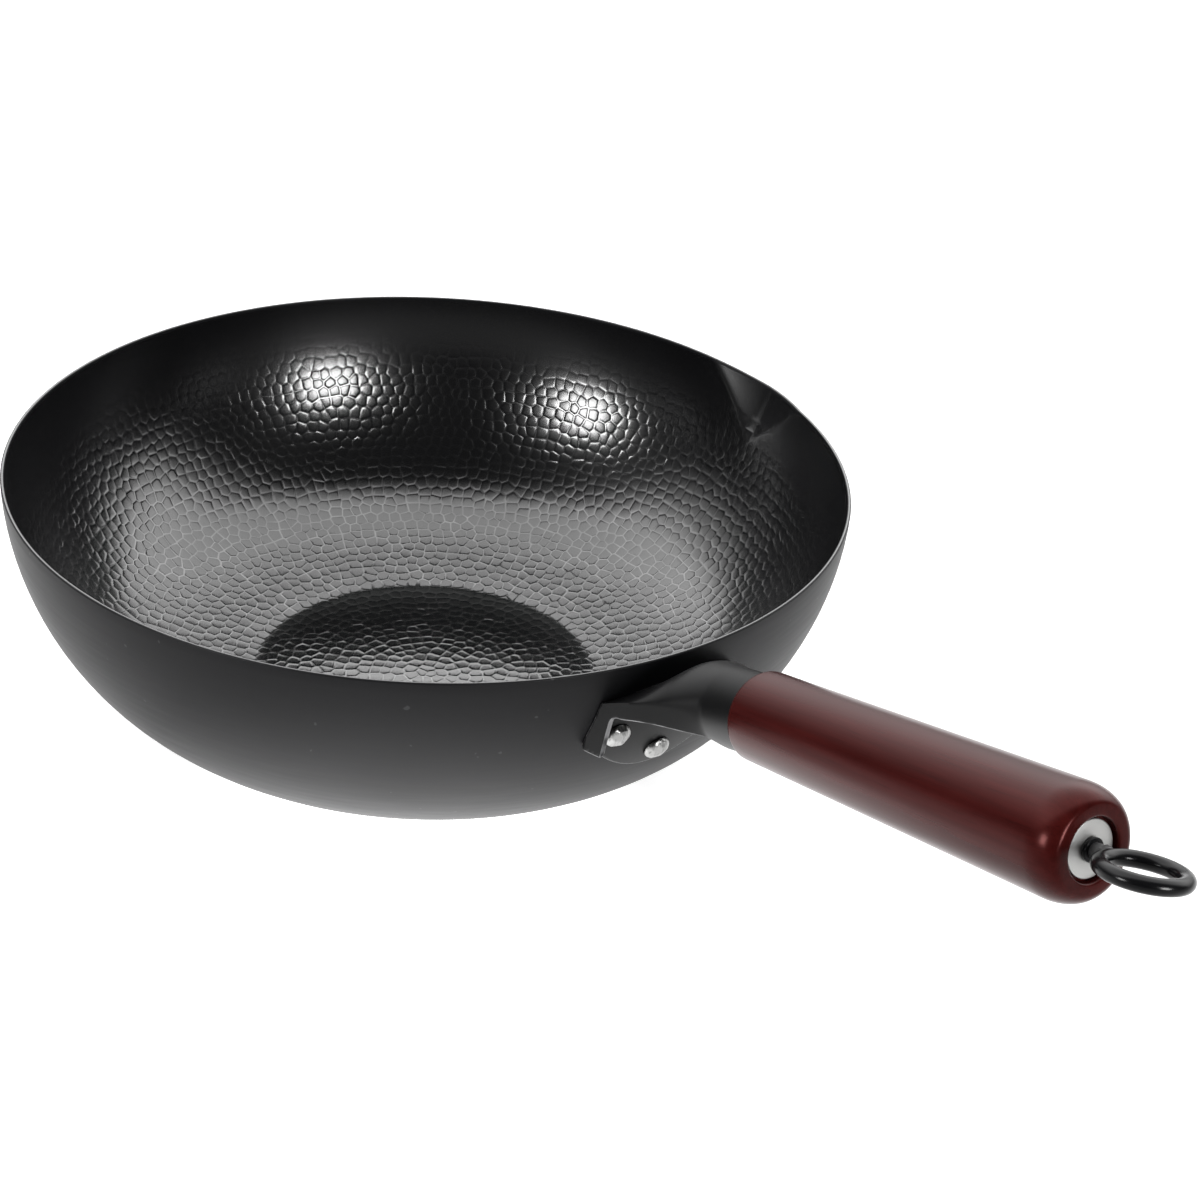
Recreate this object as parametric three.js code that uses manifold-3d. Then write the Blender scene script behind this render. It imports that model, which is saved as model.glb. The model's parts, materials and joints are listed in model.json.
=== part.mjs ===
// Iron wok with a pour spout, a riveted handle bracket, a turned wood grip and a screw-in hang eye.
// Millimetres, +Z up. The origin is the middle of the flat base, and the handle points along +X.
import * as THREE from "three";
import { mergeVertices } from "three/addons/utils/BufferGeometryUtils.js";
import Module from "manifold-3d";

const { clamp, degToRad, lerp, smoothstep } = THREE.MathUtils;

// Gap left between pieces that touch or slide on each other
const CLEARANCE = 0.3;

// Bowl: a flat base, and a wall that rises from flat at the base to upright at the rim
const RIM_RADIUS = 160;
const BOWL_HEIGHT = 97.5;
const BASE_RADIUS = 73;
const WALL = 1.4;
const BASE_SWEEP = 58;
const RIM_SWEEP = 42;

// Pour spout, pressed out of the rim beside the handle
const SPOUT_ANGLE = degToRad(90.4);
const SPOUT_HALF_WIDTH = 30;
const SPOUT_DEPTH = 27;
const SPOUT_REACH = 7;
const SPOUT_DIP = 4;

// Handle axis: its upward tilt, and how far below the rim it crosses the rim's radius
const HANDLE_TILT = degToRad(15.25);
const AXIS_DROP = 9.75;

// Handle bracket, pressed from one sheet: distances run outwards along the handle from the rim's radius
const SHEET = 1.6;
const TUBE_RADIUS = 13.3;
const TUBE_END = 48;
const NECK_START = -6;
const NECK_END = 33;
const NECK_SAG = 2.4;
const SAG_END = 17;
const ROOT_HALF_WIDTH = 28.5;
const ROOT_CROWN = 0.4;
const ROOT_SIDE = 30;
const ROOT_CREASE_DROP = 0.7;
const CREASE_LIFT = 3;
const CROWN_SHARPNESS = 0.95;
const SKIRT_SQUARENESS = 12;
const SKIRT_FLARE = 0.12;
const CROWN_RISE_SHARE = 0.72;

// Arch cut out of the bracket's underside: reach from the rim's radius, and drop below the rim
const LIP_REACH = 0.3;
const LIP_LEAN = 1;
const LIP_BOTTOM_DROP = 31.8;
const ARCH_SPRING_DROP = 19;
const ARCH_CORNER = 4.2;
const ARCH_END_REACH = 36;
const ARCH_END_DROP = 9.3;
const ARCH_BOW = 2.6;
const ARCH_NOSE = 6;

// Back plate of the bracket, seen along the handle: half widths, and drops below the rim
const PLATE_TOP_HALF_WIDTH = 26.2;
const PLATE_TOP_DROP = 13;
const PLATE_SHOULDER_HALF_WIDTH = 28.9;
const PLATE_SHOULDER_DROP = 30.4;
const TONGUE_CORNER_HALF_WIDTH = 21.5;
const TONGUE_CORNER_DROP = 37.8;
const TONGUE_TIP_DROP = 47.9;

// Rivets
const SHANK_RADIUS = 2.2;
const HEAD_RADIUS = 4.8;
const HEAD_HEIGHT = 2.9;
const INNER_HEAD_RADIUS = 3.8;
const INNER_HEAD_HEIGHT = 1.3;
const UPPER_RIVET_SIDE = 19;
const UPPER_RIVET_DROP = 27.1;
const LOWER_RIVET_DROP = 39.5;

// Wood grip: a tenon in the bracket's tube, a taper, a rounded end and a round recess for the washer
const TENON_LENGTH = 12;
const GRIP_LENGTH = 142.2;
const GRIP_NECK_RADIUS = 14.8;
const GRIP_SWELL_RADIUS = 17;
const NECK_ROUND = 1.8;
const END_ROUND_LENGTH = 9.5;
const END_FACE_RADIUS = 12.5;
const RECESS_DEPTH = 2.9;
const WASHER_SIDE_GAP = 0.9;

// Washer, hang eye and the tapped plate that the eye's rod screws into
const WASHER_RADIUS = 8.4;
const WASHER_THICKNESS = 1.2;
const WIRE_RADIUS = 2.4;
const COLLAR_RADIUS = 3.6;
const COLLAR_THICKNESS = 1.2;
const LOOP_RADIUS = 11.3;
const LOOP_REACH = 18.4;
const LOOP_ROLL = degToRad(-15);
const LOOP_DROOP = degToRad(2.7);
const ANCHOR_THICKNESS = 3.5;
const THREAD_RUNOUT = 0.8;

// Fineness of the facets
const TURN_STEPS = 96;
const WALL_STEPS = 8;
const SPOUT_STEPS = 4;
const NECK_STEPS = 10;
const RING_STEPS = 40;
const ROUND_STEPS = 24;
const DOME_STEPS = 4;
const WIRE_STEPS = 12;

// Spare length of the cutting bodies past what they cut
const OVERRUN = 14;
// Vertices closer than this are one
const MERGE = 1e-4;
// Halvings that find a height on the wall's curve
const HALVINGS = 40;
// Triangle corners of one four-sided facet
const QUAD_CORNERS = 6;

// Finishes
const IRON = { color: 0x3a3a3d, roughness: 0.4, metalness: 0.85 };
const BLACK_ENAMEL = { color: 0x2b2b2d, roughness: 0.35, metalness: 0.6 };
const RIVET_STEEL = { color: 0xc9cacc, roughness: 0.3, metalness: 0.95 };
const LACQUERED_WOOD = { color: 0x5a1f18, roughness: 0.25, metalness: 0 };
const PLAIN_STEEL = { color: 0x6a6a6c, roughness: 0.5, metalness: 0.95 };
const WASHER_STEEL = { color: 0xb9bbbd, roughness: 0.3, metalness: 0.95 };
const BLACK_WIRE = { color: 0x141415, roughness: 0.25, metalness: 0.5 };

const X_AXIS = new THREE.Vector3(1, 0, 0);
const Y_AXIS = new THREE.Vector3(0, 1, 0);
const Z_AXIS = new THREE.Vector3(0, 0, 1);
const SPOUT_HALF_ANGLE = SPOUT_HALF_WIDTH / RIM_RADIUS;
const AXIS_HEIGHT = BOWL_HEIGHT - AXIS_DROP;
const BORE_RADIUS = WIRE_RADIUS + CLEARANCE;
const GRIP_START = TUBE_END + CLEARANCE;
const GRIP_END = GRIP_START + GRIP_LENGTH;
const TENON_START = GRIP_START - TENON_LENGTH;
const RECESS_FLOOR = GRIP_END - RECESS_DEPTH;
const WASHER_FACE = RECESS_FLOOR + CLEARANCE + WASHER_THICKNESS;
const COLLAR_START = WASHER_FACE + CLEARANCE;
const ANCHOR_END = TENON_START - CLEARANCE;
const ANCHOR_START = ANCHOR_END - ANCHOR_THICKNESS;

const wasm = await Module();
wasm.setup();

// The angle about Z from the spout's middle to a place, between minus and plus half a turn.
function angleFromSpout(x, y) {
  const away = Math.atan2(y, x) - SPOUT_ANGLE;
  return Math.atan2(Math.sin(away), Math.cos(away));
}

// A closed geometry as a solid that can be joined and cut.
function solid(geometry) {
  const bare = geometry.clone();
  bare.deleteAttribute("normal");
  bare.deleteAttribute("uv");
  const merged = mergeVertices(bare, MERGE);
  const corners = merged.index.array;
  const kept = [];
  for (let i = 0; i < corners.length; i += 3) {
    const [a, b, c] = corners.slice(i, i + 3);
    if (a !== b && b !== c && c !== a) {
      kept.push(a, b, c);
    }
  }
  const vertProperties = merged.attributes.position.array;
  return new wasm.Manifold(new wasm.Mesh({ numProp: 3, vertProperties, triVerts: new Uint32Array(kept) }));
}

// A solid's surface as a geometry.
function surface(body) {
  const mesh = body.getMesh();
  const geometry = new THREE.BufferGeometry();
  geometry.setAttribute("position", new THREE.BufferAttribute(mesh.vertProperties, 3));
  geometry.setIndex(new THREE.BufferAttribute(mesh.triVerts, 1));
  geometry.computeVertexNormals();
  return geometry;
}

// A named mesh with its own finish.
function piece(name, body, finish) {
  const mesh = new THREE.Mesh(surface(body), new THREE.MeshStandardMaterial(finish));
  mesh.name = name;
  return mesh;
}

// Splits a turned profile's facets along the spout's folds, which slope down to its middle on both sides.
function splitAlongFolds(turned, profile) {
  const corners = turned.index.array;
  const rows = profile.length - 1;
  const quads = TURN_STEPS * rows;
  for (let quad = 0; quad < quads; quad += 1) {
    const row = quad % rows;
    const rising = profile[row + 1].y > profile[row].y;
    const pastSpout = quad < quads / 2;
    if (rising === pastSpout) {
      const first = quad * QUAD_CORNERS;
      const [a, b, d, c] = corners.slice(first, first + QUAD_CORNERS);
      corners.set([a, b, c, a, c, d], first);
    }
  }
}

// Draws the columns of facets nearest the spout's middle in, or out, to its width.
function fitColumnsToSpout(turned) {
  const evenAngle = (2 * Math.PI * SPOUT_STEPS) / TURN_STEPS;
  const spoutStretch = SPOUT_HALF_ANGLE / evenAngle;
  const restStretch = (Math.PI - SPOUT_HALF_ANGLE) / (Math.PI - evenAngle);
  const places = turned.attributes.position;
  for (let i = 0; i < places.count; i += 1) {
    const radius = Math.hypot(places.getX(i), places.getY(i));
    const away = angleFromSpout(places.getX(i), places.getY(i));
    const within = Math.min(Math.abs(away), evenAngle);
    const beyond = Math.abs(away) - within;
    const angle = SPOUT_ANGLE + Math.sign(away) * (within * spoutStretch + beyond * restStretch);
    places.setXY(i, radius * Math.cos(angle), radius * Math.sin(angle));
  }
}

// A profile of (radius, height) points turned about Z, in columns of facets that start at the spout.
function turnUpright(profile) {
  const turned = new THREE.LatheGeometry(profile, TURN_STEPS, SPOUT_ANGLE + Math.PI / 2);
  turned.rotateX(Math.PI / 2);
  splitAlongFolds(turned, profile);
  fitColumnsToSpout(turned);
  return turned;
}

// A profile of (radius, distance) points turned about X.
function turnAlong(profile, steps) {
  return new THREE.LatheGeometry(profile, steps).rotateZ(-Math.PI / 2);
}

// A rod of one radius between two distances along X.
function rod(radius, start, end) {
  const profile = [
    new THREE.Vector2(0, start),
    new THREE.Vector2(radius, start),
    new THREE.Vector2(radius, end),
    new THREE.Vector2(0, end),
  ];
  return turnAlong(profile, ROUND_STEPS);
}

// A closed skin over rings with as many points each, capped flat at both ends.
function loft(rings) {
  const count = rings[0].length;
  const last = (rings.length - 1) * count;
  const faces = [];
  for (let start = 0; start < last; start += count) {
    for (let j = 0; j < count; j += 1) {
      const a = start + j;
      const b = start + ((j + 1) % count);
      faces.push(a, b, b + count);
      faces.push(a, b + count, a + count);
    }
  }
  for (let j = 1; j + 1 < count; j += 1) {
    faces.push(0, j + 1, j);
    faces.push(last, last + j, last + j + 1);
  }
  const geometry = new THREE.BufferGeometry().setFromPoints(rings.flat());
  geometry.setIndex(faces);
  return geometry;
}

// The curve of the wall's outside, from the base's edge to the rim
const wallCurve = new THREE.CubicBezierCurve(
  new THREE.Vector2(BASE_RADIUS, 0),
  new THREE.Vector2(BASE_RADIUS + BASE_SWEEP, 0),
  new THREE.Vector2(RIM_RADIUS, BOWL_HEIGHT - RIM_SWEEP),
  new THREE.Vector2(RIM_RADIUS, BOWL_HEIGHT),
);

// The share of the wall's curve that lies below a height, by halving.
function shareAt(height) {
  let low = 0;
  let high = 1;
  for (let i = 0; i < HALVINGS; i += 1) {
    const middle = (low + high) / 2;
    if (wallCurve.getPoint(middle).y < height) {
      low = middle;
    } else {
      high = middle;
    }
  }
  return high;
}

// Where the wall's rows of facets lie on its curve: even steps below the spout, even heights beside it
const wallShares = [];
for (let i = 0; i < WALL_STEPS; i += 1) {
  wallShares.push((shareAt(BOWL_HEIGHT - SPOUT_DEPTH) * i) / WALL_STEPS);
}
for (let i = SPOUT_STEPS; i >= 0; i -= 1) {
  wallShares.push(shareAt(BOWL_HEIGHT - (SPOUT_DEPTH * i) / SPOUT_STEPS));
}

// Points of the wall's outside, moved outwards along its normal.
function wallProfile(offset) {
  const points = [];
  for (const share of wallShares) {
    const tangent = wallCurve.getTangent(share);
    const normal = new THREE.Vector2(tangent.y, -tangent.x);
    points.push(wallCurve.getPoint(share).addScaledVector(normal, offset));
  }
  return points;
}

// The place on the wall's facets at a sideways distance and a drop below the rim, with X along the normal.
function wallSeat(sideways, drop) {
  const height = BOWL_HEIGHT - drop;
  const points = wallProfile(0);
  const upper = points.findIndex((point) => point.y >= height);
  const low = points[upper - 1];
  const high = points[upper];
  const share = (height - low.y) / (high.y - low.y);
  const radius = lerp(low.x, high.x, share);
  const fall = Math.atan2(high.x - low.x, high.y - low.y);
  const turn = new THREE.Matrix4().makeRotationZ(Math.asin(sideways / radius));
  const place = new THREE.Matrix4().makeTranslation(radius, 0, height);
  const lean = new THREE.Matrix4().makeRotationY(fall);
  return turn.multiply(place).multiply(lean);
}

const upperLeftSeat = wallSeat(-UPPER_RIVET_SIDE, UPPER_RIVET_DROP);
const upperRightSeat = wallSeat(UPPER_RIVET_SIDE, UPPER_RIVET_DROP);
const lowerSeat = wallSeat(0, LOWER_RIVET_DROP);
const rivetSeats = [upperLeftSeat, upperRightSeat, lowerSeat];

// Cuts the rivets' holes through a body.
function drillRivetHoles(body) {
  let drilled = body;
  for (const seat of rivetSeats) {
    const hole = rod(SHANK_RADIUS + CLEARANCE, -OVERRUN, OVERRUN);
    drilled = drilled.subtract(solid(hole.applyMatrix4(seat)));
  }
  return drilled;
}

// Pushes the rim outwards into a pointed lip whose two sides fold along straight creases.
function pressSpout(geometry) {
  const places = geometry.attributes.position;
  const point = new THREE.Vector3();
  for (let i = 0; i < places.count; i += 1) {
    point.fromBufferAttribute(places, i);
    const radius = Math.hypot(point.x, point.y);
    const aside = Math.abs(angleFromSpout(point.x, point.y)) / SPOUT_HALF_ANGLE;
    const raised = 1 - (BOWL_HEIGHT - point.z) / SPOUT_DEPTH;
    const push = Math.max(0, raised - aside);
    const stretch = radius > 0 ? 1 + (SPOUT_REACH * push) / radius : 1;
    places.setXYZ(i, point.x * stretch, point.y * stretch, point.z - SPOUT_DIP * push);
  }
  return geometry;
}

// Bowl
function makeBowl() {
  const outside = wallProfile(0);
  const inside = wallProfile(-WALL).reverse();
  const profile = [new THREE.Vector2(0, 0), ...outside, ...inside, new THREE.Vector2(0, WALL)];
  const bowl = solid(pressSpout(turnUpright(profile)));
  return piece("wok_bowl", drillRivetHoles(bowl), IRON);
}

// How far the bracket's neck hangs below the handle's axis at a distance along it.
function neckSag(along) {
  return NECK_SAG * clamp((TUBE_END - along) / (TUBE_END - SAG_END), 0, 1);
}

// What fits in the tube's bore down to the anchor plate
const TENON_RADIUS = TUBE_RADIUS - SHEET - CLEARANCE - neckSag(ANCHOR_START);

// One ring of the bracket's hood and tube, at a distance along the handle, drawn in by an inset.
function bracketRing(along, inset) {
  const share = clamp((along - NECK_START) / (NECK_END - NECK_START), 0, 1);
  const eased = smoothstep(share, 0, 1);
  const halfWidth = lerp(ROOT_HALF_WIDTH, TUBE_RADIUS, share) - inset;
  const crease = lerp(-ROOT_CREASE_DROP, 0, share) + CREASE_LIFT * Math.sin(Math.PI * share);
  const peak = lerp(crease + ROOT_CROWN, TUBE_RADIUS, smoothstep(share, 0, CROWN_RISE_SHARE));
  const crown = peak - crease - inset;
  const side = lerp(ROOT_SIDE, TUBE_RADIUS, share) - inset;
  const upperPower = 2 / lerp(CROWN_SHARPNESS, 2, eased);
  const lowerPower = 2 / lerp(SKIRT_SQUARENESS, 2, eased);
  const flareShare = lerp(SKIRT_FLARE, 0, eased);
  const lean = HANDLE_TILT * eased;
  const up = new THREE.Vector3(-Math.sin(lean), 0, Math.cos(lean));
  const middle = new THREE.Vector3(RIM_RADIUS, 0, AXIS_HEIGHT);
  middle.x += along * Math.cos(HANDLE_TILT);
  middle.z += along * Math.sin(HANDLE_TILT) - neckSag(along);
  const ring = [];
  for (let i = 0; i < RING_STEPS; i += 1) {
    const turn = (2 * Math.PI * i) / RING_STEPS;
    const power = i > RING_STEPS / 2 ? lowerPower : upperPower;
    const reach = i > RING_STEPS / 2 ? side : crown;
    const height = Math.sign(Math.sin(turn)) * Math.abs(Math.sin(turn)) ** power;
    const flare = 1 + flareShare * Math.max(0, -height);
    const across = halfWidth * flare * Math.sign(Math.cos(turn)) * Math.abs(Math.cos(turn)) ** power;
    ring.push(middle.clone().addScaledVector(Y_AXIS, across).addScaledVector(up, crease + reach * height));
  }
  return ring;
}

// The bracket's hood and tube as one filled form, drawn in by an inset, with the tube's rings at given stops.
function bracketForm(inset, tubeStops) {
  const rings = [bracketRing(NECK_START - OVERRUN, inset)];
  for (let i = 0; i <= NECK_STEPS; i += 1) {
    rings.push(bracketRing(lerp(NECK_START, NECK_END, i / NECK_STEPS), inset));
  }
  for (const along of tubeStops) {
    rings.push(bracketRing(along, inset));
  }
  return solid(loft(rings));
}

// What the arch leaves open: all below the lips, and below the free edge that runs out under the tube.
function archCut() {
  const springReach = LIP_REACH + LIP_LEAN;
  const archRise = (ARCH_END_DROP + ARCH_SPRING_DROP - ARCH_CORNER) / 2 - ARCH_BOW;
  const floor = -BOWL_HEIGHT;
  const arch = new THREE.Shape();
  arch.moveTo(-RIM_RADIUS, floor);
  arch.lineTo(ARCH_END_REACH + ARCH_NOSE, floor);
  arch.lineTo(ARCH_END_REACH + ARCH_NOSE, -ARCH_END_DROP - ARCH_NOSE);
  arch.quadraticCurveTo(ARCH_END_REACH + ARCH_NOSE, -ARCH_END_DROP, ARCH_END_REACH, -ARCH_END_DROP);
  arch.quadraticCurveTo(
    (springReach + ARCH_CORNER + ARCH_END_REACH) / 2,
    -archRise,
    springReach + ARCH_CORNER,
    -ARCH_SPRING_DROP + ARCH_CORNER,
  );
  arch.quadraticCurveTo(springReach, -ARCH_SPRING_DROP + ARCH_CORNER, springReach, -ARCH_SPRING_DROP);
  arch.lineTo(LIP_REACH, -LIP_BOTTOM_DROP);
  arch.lineTo(-RIM_RADIUS, -LIP_BOTTOM_DROP);
  const depth = 2 * (ROOT_HALF_WIDTH + OVERRUN);
  const cut = new THREE.ExtrudeGeometry(arch, { depth, bevelEnabled: false, curveSegments: NECK_STEPS });
  cut.rotateX(Math.PI / 2);
  cut.translate(RIM_RADIUS, depth / 2, BOWL_HEIGHT);
  return solid(cut);
}

// The back plate's outline, seen along the handle, as a bar through the wall.
function plateBar() {
  const plate = new THREE.Shape();
  plate.moveTo(PLATE_TOP_HALF_WIDTH, -PLATE_TOP_DROP);
  plate.lineTo(-PLATE_TOP_HALF_WIDTH, -PLATE_TOP_DROP);
  plate.lineTo(-PLATE_SHOULDER_HALF_WIDTH, -PLATE_SHOULDER_DROP);
  plate.lineTo(-TONGUE_CORNER_HALF_WIDTH, -TONGUE_CORNER_DROP);
  plate.quadraticCurveTo(-TONGUE_CORNER_HALF_WIDTH / 2, -TONGUE_TIP_DROP, 0, -TONGUE_TIP_DROP);
  plate.quadraticCurveTo(
    TONGUE_CORNER_HALF_WIDTH / 2,
    -TONGUE_TIP_DROP,
    TONGUE_CORNER_HALF_WIDTH,
    -TONGUE_CORNER_DROP,
  );
  plate.lineTo(PLATE_SHOULDER_HALF_WIDTH, -PLATE_SHOULDER_DROP);
  const depth = RIM_RADIUS + OVERRUN;
  const bar = new THREE.ExtrudeGeometry(plate, { depth, bevelEnabled: false, curveSegments: DOME_STEPS });
  bar.applyMatrix4(new THREE.Matrix4().makeBasis(Y_AXIS, Z_AXIS, X_AXIS));
  return solid(bar.translate(0, 0, BOWL_HEIGHT));
}

// Handle bracket: a hood over a back plate that hugs the wall, closing into a tube
function makeBracket() {
  const filled = bracketForm(0, [TUBE_END]);
  const hollow = bracketForm(SHEET, [TUBE_END, TUBE_END + OVERRUN]);
  const wallFace = wallProfile(CLEARANCE);
  const above = BOWL_HEIGHT + OVERRUN;
  const bowlBody = [
    new THREE.Vector2(0, -CLEARANCE),
    ...wallFace,
    new THREE.Vector2(RIM_RADIUS + CLEARANCE, above),
    new THREE.Vector2(0, above),
  ];
  const hood = filled.subtract(hollow).subtract(archCut()).subtract(solid(turnUpright(bowlBody)));
  const plateFace = wallProfile(CLEARANCE + SHEET);
  const jacket = solid(turnUpright([...plateFace, ...wallFace.reverse(), plateFace[0]]));
  const plate = jacket.intersect(plateBar());
  return piece("handle_bracket", drillRivetHoles(hood.add(plate)), BLACK_ENAMEL);
}

// Points of a dome from its edge to its top, or of its mirror image from its top to its edge.
function dome(radius, height, seat) {
  const points = [];
  for (let i = 0; i <= DOME_STEPS; i += 1) {
    const turn = ((Math.PI / 2) * i) / DOME_STEPS;
    points.push(new THREE.Vector2(radius * Math.cos(turn), seat + height * Math.sin(turn)));
  }
  return points;
}

// One rivet: a domed head on the bracket, a shank through bracket and wall, and a low head in the bowl
function makeRivet(name, seat) {
  const outerSeat = SHEET + 2 * CLEARANCE;
  const innerSeat = -WALL - 2 * CLEARANCE;
  const profile = [
    ...dome(INNER_HEAD_RADIUS, -INNER_HEAD_HEIGHT, innerSeat).reverse(),
    new THREE.Vector2(SHANK_RADIUS, innerSeat),
    new THREE.Vector2(SHANK_RADIUS, outerSeat),
    ...dome(HEAD_RADIUS, HEAD_HEIGHT, outerSeat),
  ];
  const rivet = piece(name, solid(turnAlong(profile, ROUND_STEPS)), RIVET_STEEL);
  rivet.applyMatrix4(seat);
  return rivet;
}

// Wood grip, bored through for the eye's rod
function makeGrip() {
  const recessRadius = WASHER_RADIUS + WASHER_SIDE_GAP;
  const neckRound = [];
  const endRound = [];
  for (let i = 0; i <= DOME_STEPS; i += 1) {
    const turn = ((Math.PI / 2) * i) / DOME_STEPS;
    const neckRadius = GRIP_NECK_RADIUS - NECK_ROUND * (1 - Math.sin(turn));
    neckRound.push(new THREE.Vector2(neckRadius, GRIP_START + NECK_ROUND * (1 - Math.cos(turn))));
    const endRadius = END_FACE_RADIUS + (GRIP_SWELL_RADIUS - END_FACE_RADIUS) * Math.cos(turn);
    endRound.push(new THREE.Vector2(endRadius, GRIP_END - END_ROUND_LENGTH * (1 - Math.sin(turn))));
  }
  const profile = [
    new THREE.Vector2(BORE_RADIUS, TENON_START),
    new THREE.Vector2(TENON_RADIUS, TENON_START),
    new THREE.Vector2(TENON_RADIUS, GRIP_START),
    ...neckRound,
    ...endRound,
    new THREE.Vector2(recessRadius, GRIP_END),
    new THREE.Vector2(recessRadius, RECESS_FLOOR),
    new THREE.Vector2(BORE_RADIUS, RECESS_FLOOR),
    new THREE.Vector2(BORE_RADIUS, TENON_START),
  ];
  return piece("wood_grip", solid(turnAlong(profile, RING_STEPS)), LACQUERED_WOOD);
}

// A flat round plate with a middle hole for the eye's rod
function makeDisc(name, radius, start, end, finish) {
  const profile = [
    new THREE.Vector2(BORE_RADIUS, start),
    new THREE.Vector2(radius, start),
    new THREE.Vector2(radius, end),
    new THREE.Vector2(BORE_RADIUS, end),
    new THREE.Vector2(BORE_RADIUS, start),
  ];
  return piece(name, solid(turnAlong(profile, RING_STEPS)), finish);
}

// Hang eye: a long rod with a collar against the washer and a closed loop past it
function makeEye() {
  const loopStart = WASHER_FACE + LOOP_REACH - LOOP_RADIUS;
  const shaft = solid(rod(WIRE_RADIUS, ANCHOR_START - THREAD_RUNOUT, loopStart));
  const collar = solid(rod(COLLAR_RADIUS, COLLAR_START, COLLAR_START + COLLAR_THICKNESS));
  const ring = new THREE.TorusGeometry(LOOP_RADIUS, WIRE_RADIUS, WIRE_STEPS, RING_STEPS);
  ring.rotateX(LOOP_ROLL);
  ring.translate(LOOP_RADIUS, 0, 0);
  ring.rotateY(LOOP_DROOP);
  ring.translate(loopStart, 0, 0);
  return piece("hang_eye", shaft.add(collar).add(solid(ring)), BLACK_WIRE);
}

const handle = new THREE.Group();
handle.position.set(RIM_RADIUS, 0, AXIS_HEIGHT);
handle.rotation.y = -HANDLE_TILT;
handle.add(makeGrip());
handle.add(makeDisc("anchor_plate", TENON_RADIUS, ANCHOR_START, ANCHOR_END, PLAIN_STEEL));
handle.add(makeDisc("end_washer", WASHER_RADIUS, RECESS_FLOOR + CLEARANCE, WASHER_FACE, WASHER_STEEL));
handle.add(makeEye());

const wok = new THREE.Group();
wok.add(makeBowl());
wok.add(makeBracket());
wok.add(makeRivet("rivet_upper_left", upperLeftSeat));
wok.add(makeRivet("rivet_upper_right", upperRightSeat));
wok.add(makeRivet("rivet_lower", lowerSeat));
wok.add(handle);

export default wok;
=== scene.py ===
"""Looks of a one-handle iron wok: hammered bowl, riveted bracket, lacquered grip and hang eye."""

import json
import math
import random

import bmesh
import bpy
import numpy as np
from bpy.props import FloatProperty, FloatVectorProperty, PointerProperty
from bpy.types import Operator, Panel, PropertyGroup
from mathutils import Matrix, Vector
from mathutils.geometry import delaunay_2d_cdt


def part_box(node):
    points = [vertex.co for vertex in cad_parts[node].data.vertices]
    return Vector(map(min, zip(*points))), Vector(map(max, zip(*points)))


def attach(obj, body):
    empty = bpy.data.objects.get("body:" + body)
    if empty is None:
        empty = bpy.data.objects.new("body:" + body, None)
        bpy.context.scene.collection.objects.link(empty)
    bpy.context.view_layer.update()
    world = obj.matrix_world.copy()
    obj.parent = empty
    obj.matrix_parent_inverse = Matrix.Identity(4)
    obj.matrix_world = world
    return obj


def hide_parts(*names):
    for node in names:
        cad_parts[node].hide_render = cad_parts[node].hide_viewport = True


bl_info = {
    "name": "Iron Wok",
    "version": (1, 0, 0),
    "blender": (4, 5, 0),
    "location": "3D View > Sidebar > Wok",
    "description": "Builds a hammered iron wok with a wood grip over its packed frame",
    "category": "Object",
}

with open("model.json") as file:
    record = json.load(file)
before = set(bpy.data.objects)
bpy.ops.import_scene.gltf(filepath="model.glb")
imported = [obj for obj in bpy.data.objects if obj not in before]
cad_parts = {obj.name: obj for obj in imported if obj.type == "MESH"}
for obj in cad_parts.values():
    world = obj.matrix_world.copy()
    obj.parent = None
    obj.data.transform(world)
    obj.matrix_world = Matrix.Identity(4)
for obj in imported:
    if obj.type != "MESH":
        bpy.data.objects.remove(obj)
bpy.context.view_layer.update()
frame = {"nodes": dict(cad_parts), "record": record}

# Measures of the frame, and the gap between neighbouring pieces
MM = 0.001
BOWL_LOW, BOWL_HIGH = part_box("wok_bowl")
EYE_TURN = next(j for j in frame["record"]["behaviour"]["joints"] if j["name"] == "eye_turn")
AXIS_START = Vector(EYE_TURN["pos_m"])
AXIS = Vector(EYE_TURN["axis"]).normalized()
HANDLE_TILT = math.atan2(AXIS.z, AXIS.x)
GAP = 0.3 * MM

# The bowl's inside: the bend from floor to wall, the spout's crease and the rim's ground edge
FLOOR_BEND = 60 * MM
BEND_PULL = 0.36
SPOUT_CREASE = 0.06
SPOUT_MARGIN = 1.3
GROUND_EDGE = (0.28 * math.pi, 0.62 * math.pi)

# Hammer marks, as shares of a mark's width, reach, depth or crest
RING_STEP = 0.9
SPOT_SHAKE = 0.24
CORNER_JOIN = 0.09
MIRROR_FROM = 0.88
MARK_FADE = 26 * MM
FAINT_MARK = 0.04
MARK_DEPTHS = (0.7, 1.25)
MARK_TIP = 0.3
FLOOR_MARK_DEPTH = 0.45
FLOOR_MARK_CREST = 0.75
PAD_REACH, PAD_DEPTH, PAD_LEAN = 0.56, 0.95, 0.6
SHOULDER_REACH, SHOULDER_DEPTH, SHOULDER_LEAN = 0.83, 0.72, 0.8
SHOULDER_CREST = 0.06
CREST_WEAR = (0.35, 1.0)

# Hood of the bracket, as distances along the handle's axis from the rim
HOOD_START = -12 * MM
NECK_START = -6 * MM
NECK_END = 33 * MM
SAG_END = 17 * MM
NECK_SAG = 2.4 * MM
ROOT_CROWN = 0.4 * MM
ROOT_SIDE = 30 * MM
ROOT_CREASE_DROP = 0.7 * MM
CREASE_LIFT = 3 * MM
CROWN_SHARPNESS = 0.95
CROWN_RISE_SHARE = 0.72
SKIRT_SQUARENESS = 12
SKIRT_FLARE = 0.12
WALL_MARGIN = 0.8 * MM

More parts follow.
